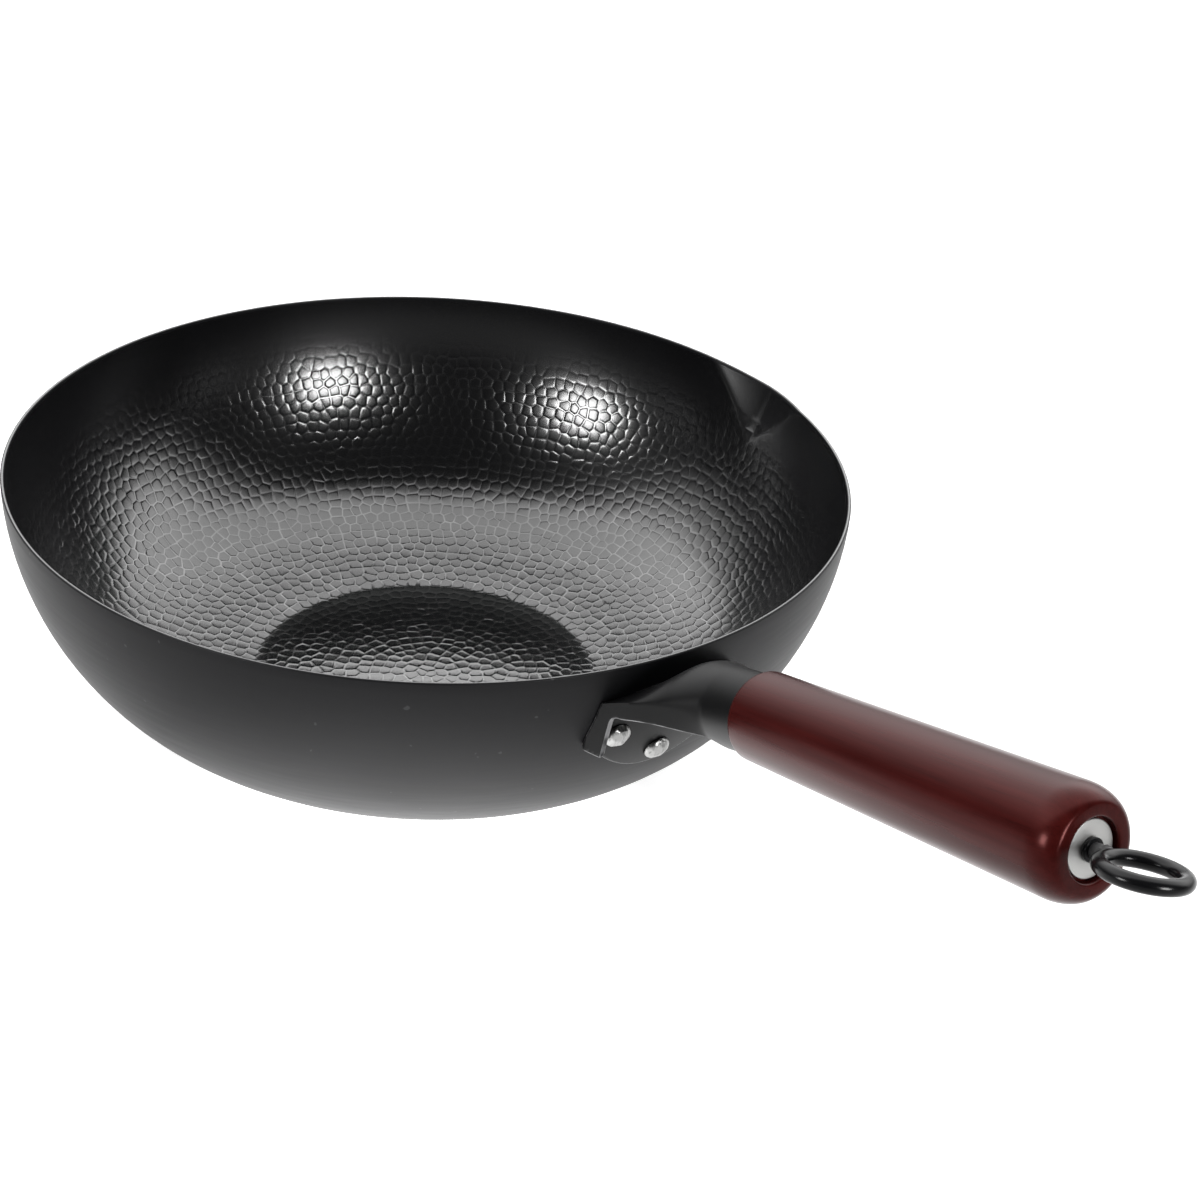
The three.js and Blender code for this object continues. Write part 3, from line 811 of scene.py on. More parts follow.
def hammer_cells(spots, rim_flat, join):
    """Ridge corners, the ring of corners on the outer edge, and each mark's corners in order.

    Spots near the outer edge are mirrored in it, so that the marks end there. Ridge corners closer
    together than join become one.
    """
    far = np.hypot(spots[:, 0], spots[:, 1])
    near_edge = spots[far > MIRROR_FROM * rim_flat]
    mirrored = near_edge * (rim_flat / np.hypot(near_edge[:, 0], near_edge[:, 1]))[:, None] ** 2
    every = np.vstack((spots, mirrored)) / MM
    made = delaunay_2d_cdt([Vector(spot) for spot in every], [], [], 0, 1e-7)
    sites = np.array([(place.x, place.y) for place in made[0]]) * MM
    names = [origin[0] for origin in made[3]]
    triangles = np.array([face[:] for face in made[2]])
    middles = circle_middles(*(sites[triangles[:, i]] for i in range(3)))
    owner = list(range(len(triangles)))

    def head(i):
        while owner[i] != i:
            i = owner[i]
        return i

    beside = {}
    for number, corners in enumerate(triangles):
        for i in range(3):
            side = tuple(sorted((int(corners[i]), int(corners[i - 1]))))
            other = beside.setdefault(side, number)
            if other != number and np.hypot(*(middles[other] - middles[number])) < join:
                owner[head(number)] = head(other)
    groups, around, edge = {}, {}, set()
    for number, corners in enumerate(triangles):
        mine = [names[corner] < len(spots) for corner in corners]
        if not any(mine):
            continue
        top = head(number)
        groups.setdefault(top, []).append(number)
        if not all(mine):
            edge.add(top)
        for corner, inside in zip(corners, mine):
            if inside:
                around.setdefault(names[corner], set()).add(top)
    order = {top: i for i, top in enumerate(groups)}
    ridge = np.array([middles[members].mean(axis=0) for members in groups.values()])
    ring = [order[top] for top in edge]
    ridge[ring] *= (rim_flat / np.hypot(ridge[ring, 0], ridge[ring, 1]))[:, None]
    ring.sort(key=lambda i: math.atan2(ridge[i, 1], ridge[i, 0]))
    cells = []
    for spot, tops in sorted(around.items()):
        corners = [order[top] for top in tops]
        x, y = spots[spot]
        corners.sort(key=lambda i: math.atan2(ridge[i, 1] - y, ridge[i, 0] - x))
        cells.append((spot, corners))
    return ridge, ring, cells


def hammered_inside(bowl, inside, arc_end):
    """Points, faces and crests of the hammered inside, and the corners and turns of its upper edge.

    A mark is a sunk middle, a pad round it and a shoulder below its ridge. A crest is 1 on a ridge
    that is rubbed bright and 0 in a mark.
    """
    dice = random.Random(19)
    spots = hammer_spots(bowl, inside, arc_end)
    rim_flat = inside.at(arc_end, inside.flat)
    ridge, ring, cells = hammer_cells(spots, rim_flat, CORNER_JOIN * bowl.dimple_width)
    flats, depths, crests = [ridge], [np.zeros(len(ridge))], [np.ones(len(ridge))]
    faces, strengths = [], []
    count = len(ridge)
    for spot, corners in cells:
        outline = ridge[corners]
        sides = len(corners)
        middle = 0.5 * (spots[spot] + outline.mean(axis=0))
        arc = float(np.interp(np.hypot(*middle), inside.flat, inside.arc))
        strength = between(FAINT_MARK, 1.0, float(ease((arc_end - arc) / MARK_FADE)))
        depth = bowl.dimple_depth * strength * dice.uniform(*MARK_DEPTHS)
        if arc < bowl.floor_radius:
            depth *= FLOOR_MARK_DEPTH
            strength *= FLOOR_MARK_CREST
        strengths.append(strength)
        spin, tip = dice.uniform(0.0, 2 * math.pi), dice.uniform(0.0, MARK_TIP) * depth
        lean = np.array([tip * math.cos(spin + 2 * math.pi * i / sides) for i in range(sides)])
        reach = np.linalg.norm(outline - middle, axis=1)
        round_off = (between(reach, reach.mean(), 0.5) / reach)[:, None]
        pad = between(middle, outline, PAD_REACH * round_off)
        shoulder = between(middle, outline, SHOULDER_REACH * round_off)
        flats += [middle[None], pad, shoulder]
        depths += [
            np.array([depth]),
            PAD_DEPTH * depth + PAD_LEAN * lean,
            SHOULDER_DEPTH * depth + SHOULDER_LEAN * lean,
        ]
        crests += [np.zeros(1 + sides), np.full(sides, SHOULDER_CREST)]
        inner, outer = count + 1, count + 1 + sides
        for i in range(sides):
            j = (i + 1) % sides
            faces.append((count, inner + i, inner + j))
            faces.append((inner + i, outer + i, outer + j, inner + j))
            faces.append((outer + i, corners[i], corners[j], outer + j))
        count += 1 + 2 * sides
    for (_, corners), strength in zip(cells, strengths):
        crests[0][corners] = np.minimum(crests[0][corners], strength * dice.uniform(*CREST_WEAR))
    points = inside.points(np.vstack(flats), np.concatenate(depths))
    turns = np.arctan2(ridge[ring, 1], ridge[ring, 0])
    return points, faces, np.concatenate(crests), ring, turns


def bowl_rows(bowl, inside, arc_end):
    """Rows (radius, height, material) from the hammered inside over the rim and down to the base."""
    rows = []
    for share in np.linspace(0.06, 1.0, 13)[:-1]:
        arc = between(arc_end, inside.arc[-1], share)
        rows.append((*(inside.at(arc, values) for values in inside.outline.T), 0))
    lip = 0.5 * bowl.wall
    for turn in np.linspace(0.0, math.pi, 11):
        kind = 1 if GROUND_EDGE[0] < turn < GROUND_EDGE[1] else 2
        radius = bowl.rim_radius - lip * (1 + math.cos(turn))
        rows.append((radius, bowl.height - lip * (1 - math.sin(turn)), kind))
    wall, _ = wall_outline(bowl, 0.0, 31)
    rows += [(radius, height, 2) for radius, height in wall[-2::-1]]
    rows += [(bowl.base_radius * share, 0.0, 2) for share in (0.97, 0.6, 0.25)]
    return rows


def make_bowl(bowl, colours):
    """The bowl: hammered inside, ground rim, satin outside and flat base."""
    inside = InsideMap(bowl)
    arc_end = inside.arc[-1] - bowl.smooth_band
    points, faces, crests, ring, turns = hammered_inside(bowl, inside, arc_end)
    marks = [0] * len(faces)
    gaps = np.diff(np.append(turns, turns[0] + 2 * math.pi))
    columns, starts = [], []
    for turn, gap in zip(turns, gaps):
        split = 6 if abs(off_spout(bowl, turn)) < SPOUT_MARGIN else 2
        starts.append(len(columns))
        columns += [turn + gap * k / split for k in range(split)]
    columns = np.array(columns)
    wide = len(columns)
    count = len(points)
    rows = bowl_rows(bowl, inside, arc_end)
    every = [points, *(press_spout(bowl, columns, radius, height) for radius, height, _ in rows)]
    for i, corner in enumerate(ring):
        after = ring[(i + 1) % len(ring)]
        end = starts[i + 1] if i + 1 < len(ring) else wide
        faces.append((after, corner, *(count + k % wide for k in range(starts[i], end + 1))))
        marks.append(0)
    kinds = [kind for _, _, kind in rows]
    for row in range(len(rows) - 1):
        start, onward = count + row * wide, count + (row + 1) * wide
        for i in range(wide):
            j = (i + 1) % wide
            faces.append((start + j, start + i, onward + i, onward + j))
            marks.append(max(kinds[row : row + 2]))
    last = count + (len(rows) - 1) * wide
    middle = last + wide
    every.append(np.zeros((1, 3)))
    for i in range(wide):
        faces.append((last + (i + 1) % wide, last + i, middle))
        marks.append(2)
    materials = [hammered_iron(colours, bowl.floor_radius), bare_rim(colours), satin_iron(colours)]
    piece = make_piece("bowl", np.vstack(every), faces, materials, marks, sharp=60)
    worn = piece.data.attributes.new("ridge", "FLOAT", "POINT")
    worn.data.foreach_set("value", np.append(crests, np.zeros(len(piece.data.vertices) - len(crests))))
    seat_piece(piece, "wok_bowl", "wok")


def outline_distance(spots, outline):
    """Distance of flat spots from a closed outline, below zero inside it."""
    ends = np.roll(outline, -1, axis=0)
    along = ends - outline
    to = spots[:, None, :] - outline[None]
    share = np.clip((to * along).sum(axis=2) / (along**2).sum(axis=1), 0.0, 1.0)
    gap = np.linalg.norm(to - share[..., None] * along, axis=2).min(axis=1)
    rising = outline[None, :, 1] <= spots[:, None, 1]
    crossing = rising != (ends[None, :, 1] <= spots[:, None, 1])
    slant = along[:, 0] / np.where(along[:, 1] == 0, TINY, along[:, 1])
    left = spots[:, None, 0] < outline[:, 0] + (spots[:, None, 1] - outline[:, 1]) * slant
    within = (crossing & left).sum(axis=1) % 2 == 1
    return np.where(within, -gap, gap)


def cut_grid(face, keep, us, vs, wraps):
    """Spots (u, v) and faces of a grid, cut where keep falls below zero.

    face gives points in space from u and v, and keep their distance inside the cut line. A grid that
    wraps ends where it started.
    """
    columns = len(us) - 1 if wraps else len(us)
    grid_v, grid_u = np.meshgrid(vs, us, indexing="ij")
    level = keep(face(grid_u.ravel(), grid_v.ravel())).reshape(grid_u.shape)
    if wraps:
        level[:, -1] = level[:, 0]
    spots, index, cuts = [], {}, []

    def corner(i, j):
        key = (i, j % columns)
        if key not in index:
            index[key] = len(spots)
            spots.append((us[key[1]], vs[i]))
        return index[key]

    def cut(kept, lost):
        key = tuple((i, j % columns) for i, j in (kept, lost))
        if key not in index:
            index[key] = len(spots)
            cuts.append((len(spots), us[kept[1]], vs[kept[0]], us[lost[1]], vs[lost[0]]))
            spots.append((0.0, 0.0))
        return index[key]

    faces = []
    for i in range(len(vs) - 1):
        for j in range(len(us) - 1):
            ring = [(i, j), (i, j + 1), (i + 1, j + 1), (i + 1, j)]
            outline = []
            for here, onward in zip(ring, ring[1:] + ring[:1]):
                here_stays, onward_stays = level[here] > 0, level[onward] > 0
                if here_stays:
                    outline.append(corner(*here))
                if here_stays != onward_stays:
                    outline.append(cut(here, onward) if here_stays else cut(onward, here))
            if len(outline) > 2:
                faces.append(tuple(outline))
    spots = np.array(spots)
    if cuts:
        table = np.array(cuts)
        low, high = table[:, 1:3], table[:, 3:5]
        for _ in range(CUT_HALVINGS):
            middle = 0.5 * (low + high)
            stays = (keep(face(*middle.T)) > 0)[:, None]
            low, high = np.where(stays, middle, low), np.where(stays, high, middle)
        spots[table[:, 0].astype(int)] = low
    return spots, faces


def edged_sheet(front, rear, faces, edge_kind):
    """Points, faces and material numbers of a sheet between two sides, with half-round free edges."""
    count = len(front)
    sides = {(a, b): outline for outline in faces for a, b in zip(outline, outline[1:] + outline[:1])}
    free = [(a, b, outline) for (a, b), outline in sides.items() if (b, a) not in sides]
    out = np.zeros((count, 3))
    for a, b, outline in free:
        fan = front[list(outline)] - front[outline[0]]
        normal = np.cross(fan[1:-1], fan[2:]).sum(axis=0)
        away = np.cross(front[b] - front[a], normal)
        away /= max(np.linalg.norm(away), TINY)
        out[a] += away
        out[b] += away
    rims = sorted({end for a, b, _ in free for end in (a, b)})
    points = [front, rear]
    place = {}
    total = 2 * count
    for k in range(1, EDGE_STEPS):
        turn = math.pi * k / EDGE_STEPS
        for rim in rims:
            middle, half = 0.5 * (front[rim] + rear[rim]), 0.5 * (front[rim] - rear[rim])
            bulge = EDGE_BULGE * np.linalg.norm(2 * half) * out[rim] / max(np.linalg.norm(out[rim]), TINY)
            points.append((middle + half * math.cos(turn) + bulge * math.sin(turn))[None])
            place[(rim, k)] = total
            total += 1
    for rim in rims:
        place[(rim, 0)], place[(rim, EDGE_STEPS)] = rim, rim + count
    every = faces + [tuple(count + i for i in reversed(outline)) for outline in faces]
    kinds = [0] * len(every)
    for a, b, _ in free:
        for k in range(EDGE_STEPS):
            every.append((place[(b, k)], place[(a, k)], place[(a, k + 1)], place[(b, k + 1)]))
            kinds.append(edge_kind)
    return np.vstack(points), every, kinds


def cut_sheet(face, back, keep, us, vs, wraps, edge_kind):
    """A sheet with a face and a back over a cut grid, as a shell whose edges have their own material."""
    spots, faces = cut_grid(face, keep, us, vs, wraps)
    return edged_sheet(face(*spots.T), back(*spots.T), faces, edge_kind)


def hood_side(handle, inset):
    """A function that gives points of the hood and tube from turn and distance along the axis."""

    def side(turn, along):
        share = np.clip((along - NECK_START) / (NECK_END - NECK_START), 0.0, 1.0)
        eased = ease(share)
        half_width = between(handle.root_half_width, handle.tube_radius, share) - inset
        crease = between(-ROOT_CREASE_DROP, 0.0, share) + CREASE_LIFT * np.sin(math.pi * share)
        peak = between(crease + ROOT_CROWN, handle.tube_radius, ease(share / CROWN_RISE_SHARE))
        upper = np.sin(turn) >= 0
        reach = np.where(upper, peak - crease, between(ROOT_SIDE, handle.tube_radius, share)) - inset
        power = between(np.where(upper, CROWN_SHARPNESS, SKIRT_SQUARENESS), 2.0, eased)
        size = (np.abs(np.cos(turn)) ** power + np.abs(np.sin(turn)) ** power) ** (-1.0 / power)
        height = size * np.sin(turn)
        flare = 1.0 + between(SKIRT_FLARE, 0.0, eased) * np.maximum(0.0, -height)
        across = half_width * flare * size * np.cos(turn)
        rise = crease + reach * height
        lean = HANDLE_TILT * eased
        sag = NECK_SAG * np.clip((handle.tube_end - along) / (handle.tube_end - SAG_END), 0.0, 1.0)
        x = AXIS_START.x + along * AXIS.x - rise * np.sin(lean)
        z = AXIS_START.z + along * AXIS.z - sag + rise * np.cos(lean)
        return np.column_stack((x, across, z))

    return side


def arch_outline():
    """What the hood's free edge leaves open, as (reach past the rim, height above the rim)."""
    spring = LIP_REACH + LIP_LEAN
    rise = (ARCH_END_DROP + ARCH_SPRING_DROP - ARCH_CORNER) / 2 - ARCH_BOW
    nose, far, deep = ARCH_END_REACH + ARCH_NOSE, -160 * MM, -100 * MM
    end = (ARCH_END_REACH, -ARCH_END_DROP)
    top = (spring + ARCH_CORNER, -ARCH_SPRING_DROP + ARCH_CORNER)
    return np.vstack((
        [(far, deep), (nose, deep)],
        bent((nose, -ARCH_END_DROP - ARCH_NOSE), (nose, -ARCH_END_DROP), end),
        bent(end, ((top[0] + ARCH_END_REACH) / 2, -rise), top)[1:],
        bent(top, (spring, top[1]), (spring, -ARCH_SPRING_DROP))[1:],
        [(LIP_REACH, -LIP_BOTTOM_DROP), (far, -LIP_BOTTOM_DROP)],
    ))


def plate_outline():
    """The back plate's outline, as (sideways, height above the rim)."""
    tongue = TONGUE_CORNER[0]
    left = bent((-tongue, -TONGUE_CORNER[1]), (-tongue / 2, -TONGUE_TIP_DROP), (0.0, -TONGUE_TIP_DROP))
    right = left[::-1] * (-1, 1)
    return np.vstack((
        [(PLATE_TOP[0], -PLATE_TOP[1]), (-PLATE_TOP[0], -PLATE_TOP[1])],
        [(-PLATE_SHOULDER[0], -PLATE_SHOULDER[1])],
        left,
        right[1:],
        [(PLATE_SHOULDER[0], -PLATE_SHOULDER[1])],
    ))


def make_bracket(handle, bowl, colours):
    """The bracket: hood and tube with an arched free edge, over a back plate on the wall."""
    wall, _ = wall_outline(bowl, 0.0)
    arch, plate = arch_outline(), plate_outline()

    def hood_keep(points):
        off_wall = np.hypot(points[:, 0], points[:, 1]) - np.interp(points[:, 2], wall[:, 1], wall[:, 0])
        flat = points[:, [0, 2]] - (bowl.rim_radius, bowl.height)
        return np.minimum(off_wall - WALL_MARGIN, outline_distance(flat, arch))

    def plate_side(offset):
        outline, _ = wall_outline(bowl, offset)

        def side(sideways, height):
            radius = np.interp(height, outline[:, 1], outline[:, 0])
            return np.column_stack((np.sqrt(radius**2 - sideways**2), sideways, height))

        return side

    def plate_keep(points):
        return -outline_distance(points[:, [1, 2]] - (0.0, bowl.height), plate)

    hood = cut_sheet(
        face=hood_side(handle, 0.0),
        back=hood_side(handle, handle.sheet),
        keep=hood_keep,
        us=np.linspace(0.0, 2 * math.pi, 181) + 0.5 * math.pi,
        vs=np.linspace(HOOD_START, handle.tube_end, 67),
        wraps=True,
        # The hood's free edges get the worn edge finish, which is partly a painted highlight
        edge_kind=1,
    )
    back = cut_sheet(
        face=plate_side(GAP + handle.sheet),
        back=plate_side(GAP),
        keep=plate_keep,
        us=np.linspace(-PLATE_BLANK_HALF_WIDTH, PLATE_BLANK_HALF_WIDTH, 65),
        vs=np.linspace(bowl.height - PLATE_BLANK_DROPS[0], bowl.height - PLATE_BLANK_DROPS[1], 40),
        wraps=False,
        edge_kind=0,
    )
    points, faces, marks = joined(hood, back)
    materials = [black_sheet(colours), worn_and_highlight_edge(colours)]
    piece = make_piece("bracket", points, faces, materials, marks, sharp=55)
    form = bmesh.new()
    form.from_mesh(piece.data)
    bmesh.ops.recalc_face_normals(form, faces=form.faces)
    form.to_mesh(piece.data)
    form.free()
    seat_piece(piece, "handle_bracket", "wok")


def turned(profile, steps):
    """Points and faces of a closed profile of (along, radius), turned about the first axis.

    A profile point on the axis, at radius 0, becomes a single point.
    """
    points, rows = [], []
    for along, radius in profile:
        count = steps if radius > 0.0 else 1
        rows.append([len(points) + i % count for i in range(steps)])
        for turn in np.linspace(0.0, 2 * math.pi, count, endpoint=False):
            points.append((along, radius * math.cos(turn), radius * math.sin(turn)))
    faces = []
    for row, onward in zip(rows, rows[1:] + rows[:1]):
        for i in range(steps):
            j = (i + 1) % steps
            corners = tuple(dict.fromkeys((row[i], row[j], onward[j], onward[i])))
            if len(corners) > 2:
                faces.append(corners)
    return np.array(points), faces


def rounded(profile, radius, steps=4):
    """A closed profile with each corner rounded."""
    profile = [np.array(point, dtype=float) for point in profile]
    made = []
    for i, corner in enumerate(profile):
        before, after = profile[i - 1] - corner, profile[(i + 1) % len(profile)] - corner
        reach = min(radius, 0.45 * np.linalg.norm(before), 0.45 * np.linalg.norm(after))
        start = corner + before / np.linalg.norm(before) * reach
        end = corner + after / np.linalg.norm(after) * reach
        made.extend(bent(start, corner, end, steps))
    return made


def handle_place():
    """The handle's own frame: first axis along the handle from the rim."""
    return Matrix.Translation(AXIS_START) @ Matrix.Rotation(-HANDLE_TILT, 4, "Y")


def wall_seat(bowl, sideways, drop):
    """A rivet's own frame: first axis out of the wall at a place."""
    wall, outward = wall_outline(bowl, 0.0)
    height = bowl.height - drop
    radius, out, up = (float(np.interp(height, wall[:, 1], row)) for row in (wall[:, 0], *outward.T))
    turn = Matrix.Rotation(math.asin(sideways / radius), 4, "Z")
    return turn @ Matrix.Translation((radius, 0.0, height)) @ Matrix.Rotation(math.atan2(-up, out), 4, "Y")


def peened(points, handle, seat, dice):
    """Points of a rivet whose outer head has been flattened by some hammer blows."""
    for _ in range(HEAD_BLOWS):
        spin, tip = dice.uniform(0.0, 2 * math.pi), math.radians(dice.uniform(*BLOW_TILTS))
        facing = np.array((math.cos(tip), math.sin(tip) * math.cos(spin), math.sin(tip) * math.sin(spin)))
        over = (points - (seat, 0.0, 0.0)) @ facing
        limit = math.hypot(handle.rivet_height * facing[0], handle.rivet_radius * math.sin(tip))
        limit *= dice.uniform(*BLOW_LEVELS)
        flat = np.where(points[:, 0] > seat, np.maximum(0.0, over - limit), 0.0)
        points = points - flat[:, None] * facing
    return points


def make_rivets(handle, bowl, colours):
    """Three rivets with hand-peened heads."""
    steel = peened_steel(colours)
    outer_seat = handle.sheet + 2 * GAP
    inner_seat = -bowl.wall - 2 * GAP
    profile = [
        (inner_seat - INNER_HEAD_HEIGHT * math.cos(turn), INNER_HEAD_RADIUS * math.sin(turn))
        for turn in np.linspace(0.0, math.pi / 2, 7)
    ]
    profile += [(inner_seat, SHANK_RADIUS), (outer_seat, SHANK_RADIUS)]
    profile += [
        (outer_seat + handle.rivet_height * math.cos(turn), handle.rivet_radius * math.sin(turn))
        for turn in np.linspace(math.pi / 2, 0.0, 17)
    ]
    blank, faces = turned(profile, steps=48)
    for number, (node, (sideways, drop)) in enumerate(RIVET_SEATS.items()):
        points = peened(blank, handle, outer_seat, random.Random(31 + number))
        place = wall_seat(bowl, sideways, drop)
        name = node.replace("rivet", "peened_rivet")
        piece = make_piece(name, points, faces, [steel], sharp=24, place=place)
        seat_piece(piece, node, "wok")


def make_grip(handle, colours):
    """Turned wood grip with a tenon, a soft swell and a recess in its end."""
    end = GRIP_START + handle.grip_length
    bore = handle.wire_radius + GAP
    neck, swell = handle.grip_neck_radius, handle.grip_swell_radius
    recess = handle.washer_radius + RECESS_SIDE_GAP
    profile = [(TENON_START, bore), (TENON_START, TENON_RADIUS), (GRIP_START, TENON_RADIUS)]
    for turn in np.linspace(0.0, math.pi / 2, 9):
        along = GRIP_START + NECK_ROUND * (1 - math.cos(turn))
        profile.append((along, neck - NECK_ROUND * (1 - math.sin(turn))))
    for share in np.linspace(0.0, 1.0, 28)[1:-1]:
        along = between(GRIP_START + NECK_ROUND, end - END_ROUND, share)
        profile.append((along, between(neck, swell, share)))
    for turn in np.linspace(0.0, math.pi / 2, 15):
        along = end - END_ROUND * (1 - math.sin(turn))
        profile.append((along, between(END_FACE_RADIUS, swell, math.cos(turn))))
    profile.extend(bent((end, recess + RECESS_ROUND), (end, recess), (end - RECESS_ROUND, recess), 5))
    profile += [(end - RECESS_DEPTH, recess), (end - RECESS_DEPTH, bore)]
    points, faces = turned(profile, steps=96)
    piece = make_piece("grip", points, faces, [lacquered_wood(colours)], place=handle_place())
    seat_piece(piece, "wood_grip", "wok")


def washer_face(handle):
    """Distance along the handle's axis to the washer's outer face."""
    return GRIP_START + handle.grip_length - RECESS_DEPTH + GAP + WASHER_THICKNESS


def make_washer(handle, colours):
    """Flat washer with rolled edges in the grip's end."""
    face = washer_face(handle)
    back = face - WASHER_THICKNESS
    bore, radius = handle.wire_radius + GAP, handle.washer_radius
    corners = [(back, bore), (back, radius), (face, radius), (face, bore)]
    points, faces = turned(rounded(corners, WASHER_ROUND), steps=96)
    piece = make_piece("washer", points, faces, [brushed_washer(colours)], sharp=60, place=handle_place())
    seat_piece(piece, "end_washer", "washer")


def make_eye(handle, colours):
    """Hang eye: plain rod through the grip, black collar on the washer and a closed black loop."""
    face = washer_face(handle)
    wire, radius = handle.wire_radius, handle.loop_radius
    loop_start = face + handle.loop_reach - radius
    weld = loop_start - wire
    rod = [
        (ROD_START, 0.0),
        (ROD_START, wire - ROD_CHAMFER),
        (ROD_START + ROD_CHAMFER, wire),
        *((weld + along, wire + proud) for along, proud in WELD_BEAD),
        (loop_start, wire),
        (loop_start, 0.0),
    ]
    start, end = face + GAP, face + GAP + COLLAR_THICKNESS
    bore = COLLAR_BORE_SHARE * wire
    collar = [(start, bore), (start, COLLAR_RADIUS), (end, COLLAR_RADIUS), (end, bore)]
    ring = [
        (wire * math.sin(turn), radius + wire * math.cos(turn))
        for turn in np.linspace(0.0, 2 * math.pi, 28, endpoint=False)
    ]
    hang = (
        Matrix.Translation((loop_start, 0.0, 0.0))
        @ Matrix.Rotation(handle.loop_droop, 4, "Y")
        @ Matrix.Translation((radius, 0.0, 0.0))
        @ Matrix.Rotation(handle.loop_roll, 4, "X")
        @ Matrix.Rotation(math.pi / 2, 4, "Y")
    )
    rod_points, rod_faces = turned(rod, steps=36)
    collar_points, collar_faces = turned(rounded(collar, COLLAR_ROUND), steps=56)
    loop_points, loop_faces = turned(ring, steps=96)
    loop_points = [hang @ Vector(point) for point in loop_points]
    points, faces, marks = joined(
        (rod_points, rod_faces, [1] * len(rod_faces)),
        (collar_points, collar_faces, [0] * len(collar_faces)),
        (loop_points, loop_faces, [0] * len(loop_faces)),
    )
    materials = [gloss_black(colours), plain_steel(colours)]
    piece = make_piece("eye", points, faces, materials, marks, sharp=45, place=handle_place())
    seat_piece(piece, "hang_eye", "eye")


def soft_sky(stage):
    """A bright backdrop that stands behind the wok and leans over it, in a dark room."""
    sky = Finish(bpy.data.worlds.new("soft_sky"))
    away = sky.node("ShaderNodeTexCoord", output="Generated")
    behind = sky.vector("DOT_PRODUCT", away, BACKDROP, "Value")
    height = sky.vector("DOT_PRODUCT", away, BACKDROP_UP, "Value")
    sheet = sky.ramp(0.5 + 0.5 * behind, (0.42, 0.008), (0.5, 0.22), (0.6, 1.0))
    lift = sky.ramp(
        height, (0.0, 0.03), (0.1, 0.12), (0.3, 0.4), (0.4, 0.62), (0.5, 0.9), (0.6, 1.0), (0.95, 0.8)
    )
    glow = sky.node("ShaderNodeBackground", None, {"Color": sheet * lift, "Strength": stage.sky_strength})
    sky.node("ShaderNodeOutputWorld", None, {"Surface": glow})
    return sky.holder


def make_stage(stage):
    """Pale floor, soft light and the camera of the photograph's view."""
    corners = [(-1, -1), (1, -1), (1, 1), (-1, 1)]
    points = [(x * FLOOR_HALF, y * FLOOR_HALF, -FLOOR_DROP) for x, y in corners]
    floor = make_piece("floor", points, [(0, 1, 2, 3)], [pale_floor_painted_light(stage)])
    bpy.context.scene.world = soft_sky(stage)
    for name, heading in BOXES.items():
        light = bpy.data.lights.new(name, "AREA")
        light.shape = "SQUARE"
        light.size = BOX_SIZE
        light.energy = stage.box_power
        lamp = bpy.data.objects.new(name, light)
        bpy.context.collection.objects.link(lamp)
        away = Vector(heading).normalized()
        lamp.location = BOX_AIM + away * BOX_DISTANCE
        lamp.rotation_mode = "QUATERNION"
        lamp.rotation_quaternion = away.to_track_quat("Z", "Y")
    lens = bpy.data.cameras.new("camera")
    lens.lens = stage.lens
    lens.sensor_width = CAMERA_SENSOR
    lens.clip_start = CAMERA_NEAR
    camera = bpy.data.objects.new("camera", lens)
    bpy.context.collection.objects.link(camera)
    turn = Matrix(CAMERA_AXES).transposed().to_4x4()
    camera.matrix_world = Matrix.Translation(CAMERA_PLACE) @ turn
    bpy.context.scene.camera = camera
    bpy.context.scene.view_settings.view_transform = "Standard"


class WOK_OT_stage(Operator):
    """Lay the floor, hang the lights and set the camera"""

    bl_idname = "wok.stage"
    bl_label = "Stage"

    def execute(self, context):
        make_stage(context.scene.wok_stage)
        return {"FINISHED"}


class WOK_OT_bowl(Operator):
    """Make the hammered bowl with its pour spout"""

    bl_idname = "wok.bowl"
    bl_label = "Bowl"

    def execute(self, context):
        make_bowl(context.scene.wok_bowl, context.scene.wok_finish)
        return {"FINISHED"}


class WOK_OT_bracket(Operator):
    """Make the black bracket"""

    bl_idname = "wok.bracket"
    bl_label = "Bracket"

    def execute(self, context):
        make_bracket(context.scene.wok_handle, context.scene.wok_bowl, context.scene.wok_finish)
        return {"FINISHED"}


class WOK_OT_rivets(Operator):
    """Make the three rivets"""

    bl_idname = "wok.rivets"
    bl_label = "Rivets"

    def execute(self, context):
        make_rivets(context.scene.wok_handle, context.scene.wok_bowl, context.scene.wok_finish)
        return {"FINISHED"}


class WOK_OT_grip(Operator):
    """Make the wood grip"""

    bl_idname = "wok.grip"
    bl_label = "Grip"

    def execute(self, context):
        make_grip(context.scene.wok_handle, context.scene.wok_finish)
        return {"FINISHED"}


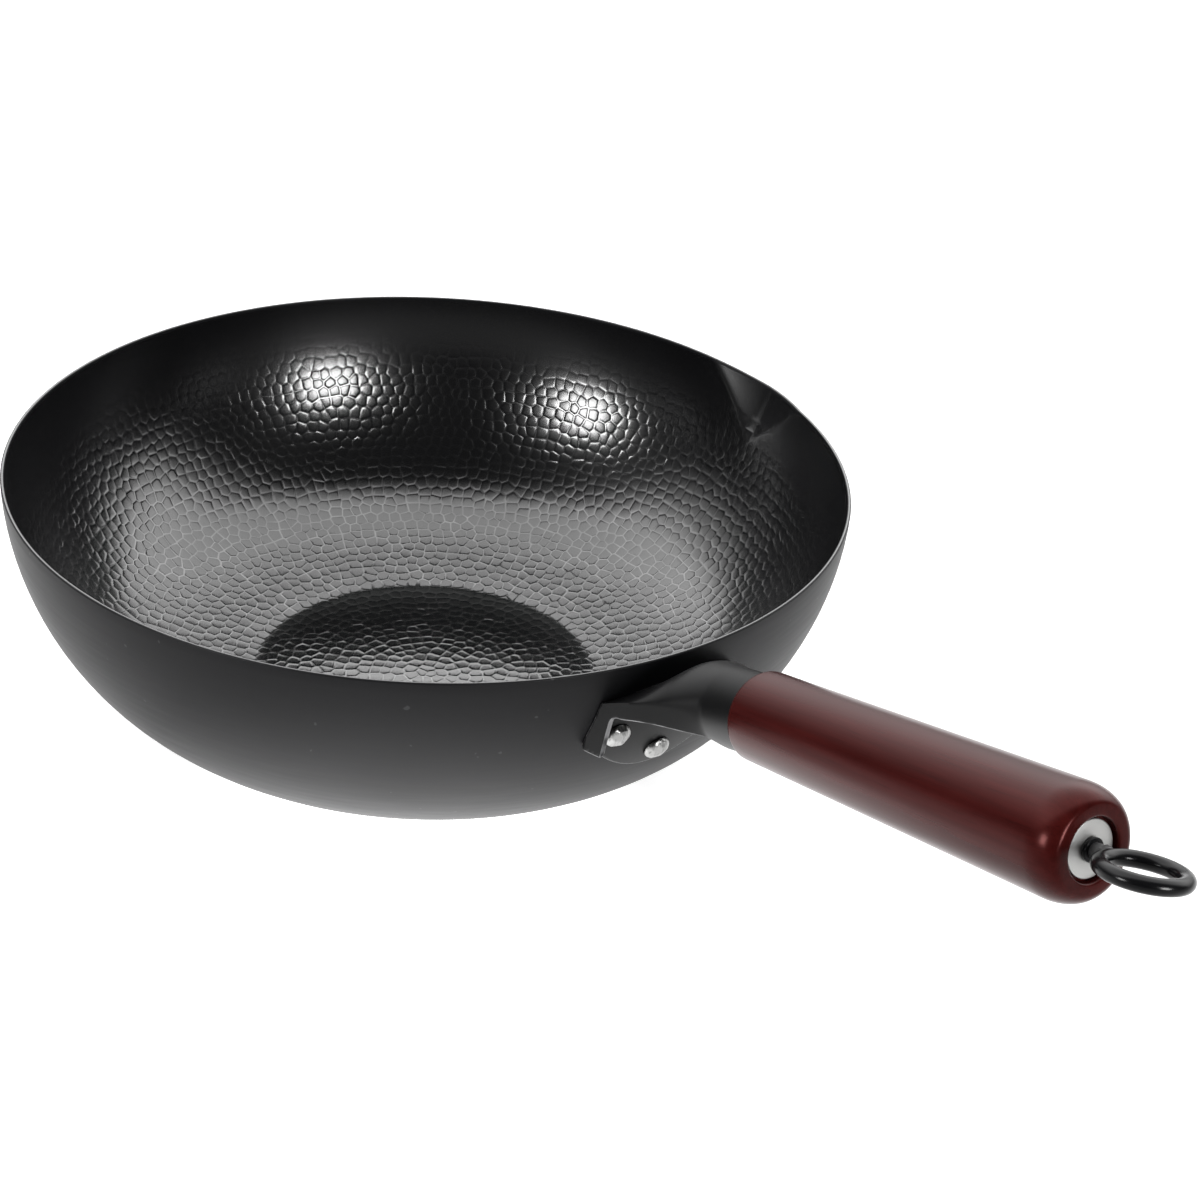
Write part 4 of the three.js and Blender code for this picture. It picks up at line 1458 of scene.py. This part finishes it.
class WOK_OT_washer(Operator):
    """Make the end washer"""

    bl_idname = "wok.washer"
    bl_label = "Washer"

    def execute(self, context):
        make_washer(context.scene.wok_handle, context.scene.wok_finish)
        return {"FINISHED"}


class WOK_OT_eye(Operator):
    """Make the hang eye"""

    bl_idname = "wok.eye"
    bl_label = "Hang eye"

    def execute(self, context):
        make_eye(context.scene.wok_handle, context.scene.wok_finish)
        return {"FINISHED"}


class WOK_OT_anchor(Operator):
    """Give the hidden anchor plate its finish"""

    bl_idname = "wok.anchor"
    bl_label = "Anchor plate"

    def execute(self, context):
        plate = frame["nodes"]["anchor_plate"]
        steel = plain_steel(context.scene.wok_finish)
        for slot in plate.material_slots:
            slot.material = steel
        return {"FINISHED"}


GROUPS = {"wok_bowl": WokBowl, "wok_handle": WokHandle, "wok_finish": WokFinish, "wok_stage": WokStage}
OPERATORS = (
    WOK_OT_stage,
    WOK_OT_bowl,
    WOK_OT_bracket,
    WOK_OT_rivets,
    WOK_OT_grip,
    WOK_OT_washer,
    WOK_OT_eye,
    WOK_OT_anchor,
)
PIECES = tuple(kind.bl_idname for kind in OPERATORS)


class WOK_PT_panel(Panel):
    """Lists the wok's pieces"""

    bl_idname = "WOK_PT_panel"
    bl_label = "Wok"
    bl_space_type = "VIEW_3D"
    bl_region_type = "UI"
    bl_category = "Wok"

    def draw(self, context):
        for name in PIECES:
            self.layout.operator(name)
        for group in GROUPS:
            box = self.layout.box()
            settings = getattr(context.scene, group)
            for name in settings.__annotations__:
                box.prop(settings, name)


def register():
    for name, group in GROUPS.items():
        bpy.utils.register_class(group)
        setattr(bpy.types.Scene, name, PointerProperty(type=group))
    for kind in (*OPERATORS, WOK_PT_panel):
        bpy.utils.register_class(kind)


def unregister():
    for kind in (WOK_PT_panel, *reversed(OPERATORS)):
        bpy.utils.unregister_class(kind)
    for name, group in reversed(GROUPS.items()):
        delattr(bpy.types.Scene, name)
        bpy.utils.unregister_class(group)


def main():
    register()
    for name in PIECES:
        group, call = name.split(".")
        getattr(getattr(bpy.ops, group), call)()


if __name__ == "__main__":
    main()
